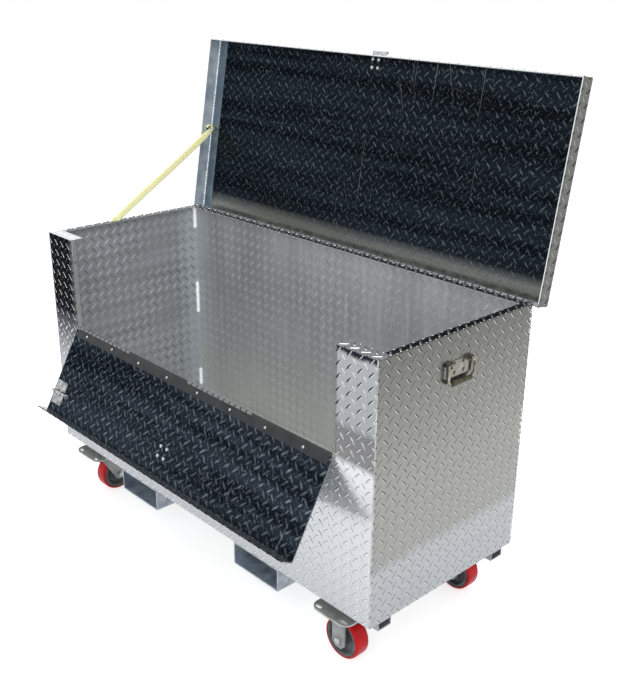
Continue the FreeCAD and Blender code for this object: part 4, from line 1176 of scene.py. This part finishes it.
bmesh.ops.rotate(loop_bm, verts=loop_bm.verts[:], cent=(0, 0, 0), matrix=Matrix.Rotation(facing, 3, "X"))
bmesh.ops.translate(loop_bm, verts=loop_bm.verts[:], vec=(loop_x, ring.y, ring.z))
bmesh.ops.recalc_face_normals(loop_bm, faces=loop_bm.faces[:])
thicken(add_piece("sewn_loop", loop_bm, "lid", "webbing", yellow_webbing, smooth=True))
print("ring at", [round(c, 3) for c in ring])

# %% [markdown]
# Domed rivets hold the upper leaf of the continuous hinge to the door. A rivet is the upper part of a small
# sphere, flattened, and a loop sets the row at an even pitch.

# %% Rivets
rivet_count = 8
rivet_start = -0.556
rivet_pitch = 0.154
rivet_radius = 0.0042
rivet_rise = 0.0022
rivet_above_hinge = 0.016
rivet_seat = 0.0052              # the leaf's face, from the front of the shut door


def dome(bm, place, away, radius, rise):
    """Low dome on a face."""
    made = bmesh.ops.create_uvsphere(bm, u_segments=16, v_segments=8, radius=radius)["verts"]
    below = [v for v in made if v.co.z < -radius * 0.3]
    bmesh.ops.delete(bm, geom=below, context="VERTS")
    made = [v for v in made if v.is_valid]
    bmesh.ops.scale(bm, vec=(1, 1, rise / radius), verts=made)
    turn = Vector(away).to_track_quat("Z", "Y").to_matrix().to_4x4()
    bmesh.ops.transform(bm, matrix=Matrix.Translation(place) @ turn, verts=made)


rivets = bmesh.new()
for index in range(rivet_count):
    seat = (rivet_start + index * rivet_pitch, front_y + rivet_seat, door_line.z + rivet_above_hinge)
    dome(rivets, door_place(Matrix.Translation(seat)).translation, door_in, rivet_radius, rivet_rise)
add_piece("door_hinge_rivets", rivets, "door", "hardware", bright_steel, smooth=True)
print("rivets:", rivet_count)

# %% [markdown]
# Beads of weld join the corners and hold the pockets. A bead is a row of overlapping small blobs along a
# line, each a little larger or smaller than the last, as the welder's pauses leave them.

# %% Welds
corner_bead = 0.0022
inner_bead = 0.0056
lid_bead = 0.0027
pocket_bead = 0.003
pocket_bead_half = 0.012         # half the length of a short bead on a pocket
pocket_bead_pitch = 0.084        # and from one to the next
stop_short = 0.004               # a long bead ends this far from the end of its corner
inner_stretches = ((0.868, 0.939), (0.527, 0.643), (0.216, 0.277))
weld_metal = plated("weld_metal", linear(206, 207, 206), linear(120, 120, 116), 0.3, (80, 80, 80))
# Painted light: the inner welds and lid seams are white and glow a little, though they are no lamp.
bright_weld = plain("bright_weld", (1.0, 1.0, 1.0, 1.0), linear(244, 246, 248), 0.35, (80, 80, 80), 0.35)


def bead(bm, start, end, radius, step=0.0035):
    """Row of overlapping low blobs between two points, as a weld lays them."""
    start = Vector(start)
    end = Vector(end)
    count = max(2, round((end - start).length / step))
    for index in range(count + 1):
        size = radius * (1 + 0.18 * math.sin(index * 2.7) + 0.1 * math.sin(index * 1.1))
        made = bmesh.ops.create_icosphere(bm, subdivisions=1, radius=size)["verts"]
        bmesh.ops.translate(bm, vec=start.lerp(end, index / count), verts=made)


corner_welds = bmesh.new()
for side in (-1, 1):
    corner = (side * (half_length - 0.0003), front_y + 0.0005)
    bead(corner_welds, (*corner, low_z + stop_short), (*corner, rim_z - stop_short), corner_bead)
add_piece("front_corner_welds", corner_welds, "box", "tread_plate", weld_metal, smooth=True)
inner_welds = bmesh.new()
for low_end, high_end in inner_stretches:
    for side in (-1, 1):
        corner = (side * (half_length - plate - 0.002), back_y - plate - 0.002)
        bead(inner_welds, (*corner, low_end), (*corner, high_end), inner_bead)
add_piece("inner_corner_welds", inner_welds, "box", "tread_plate", bright_weld, smooth=True)
lid_seams = bmesh.new()
for side in (-1, 1):
    seam = (side * (lid_inside - 0.0006), lid_top - plate - 0.0006)
    ends = [lid_place(Matrix.Translation((seam[0], y, seam[1]))).translation
            for y in (lid_front + stop_short, lid_back - stop_short)]
    bead(lid_seams, *ends, lid_bead, 0.006)
add_piece("lid_corner_seams", lid_seams, "lid", "tread_plate", bright_weld, smooth=True)
pocket_welds = bmesh.new()
for label in ("left", "right"):
    low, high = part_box(f"{label}_fork_pocket")
    for y in (low.y + 0.001, high.y - 0.001):
        for shift in (-pocket_bead_pitch, 0, pocket_bead_pitch):
            middle = (low.x + high.x) / 2 + shift
            start, end = middle - pocket_bead_half, middle + pocket_bead_half
            bead_z = high.z - pocket_bead / 2
            bead(pocket_welds, (start, y, bead_z), (end, y, bead_z), pocket_bead)
add_piece("pocket_welds", pocket_welds, "box", "frame_metal", weld_metal, smooth=True)
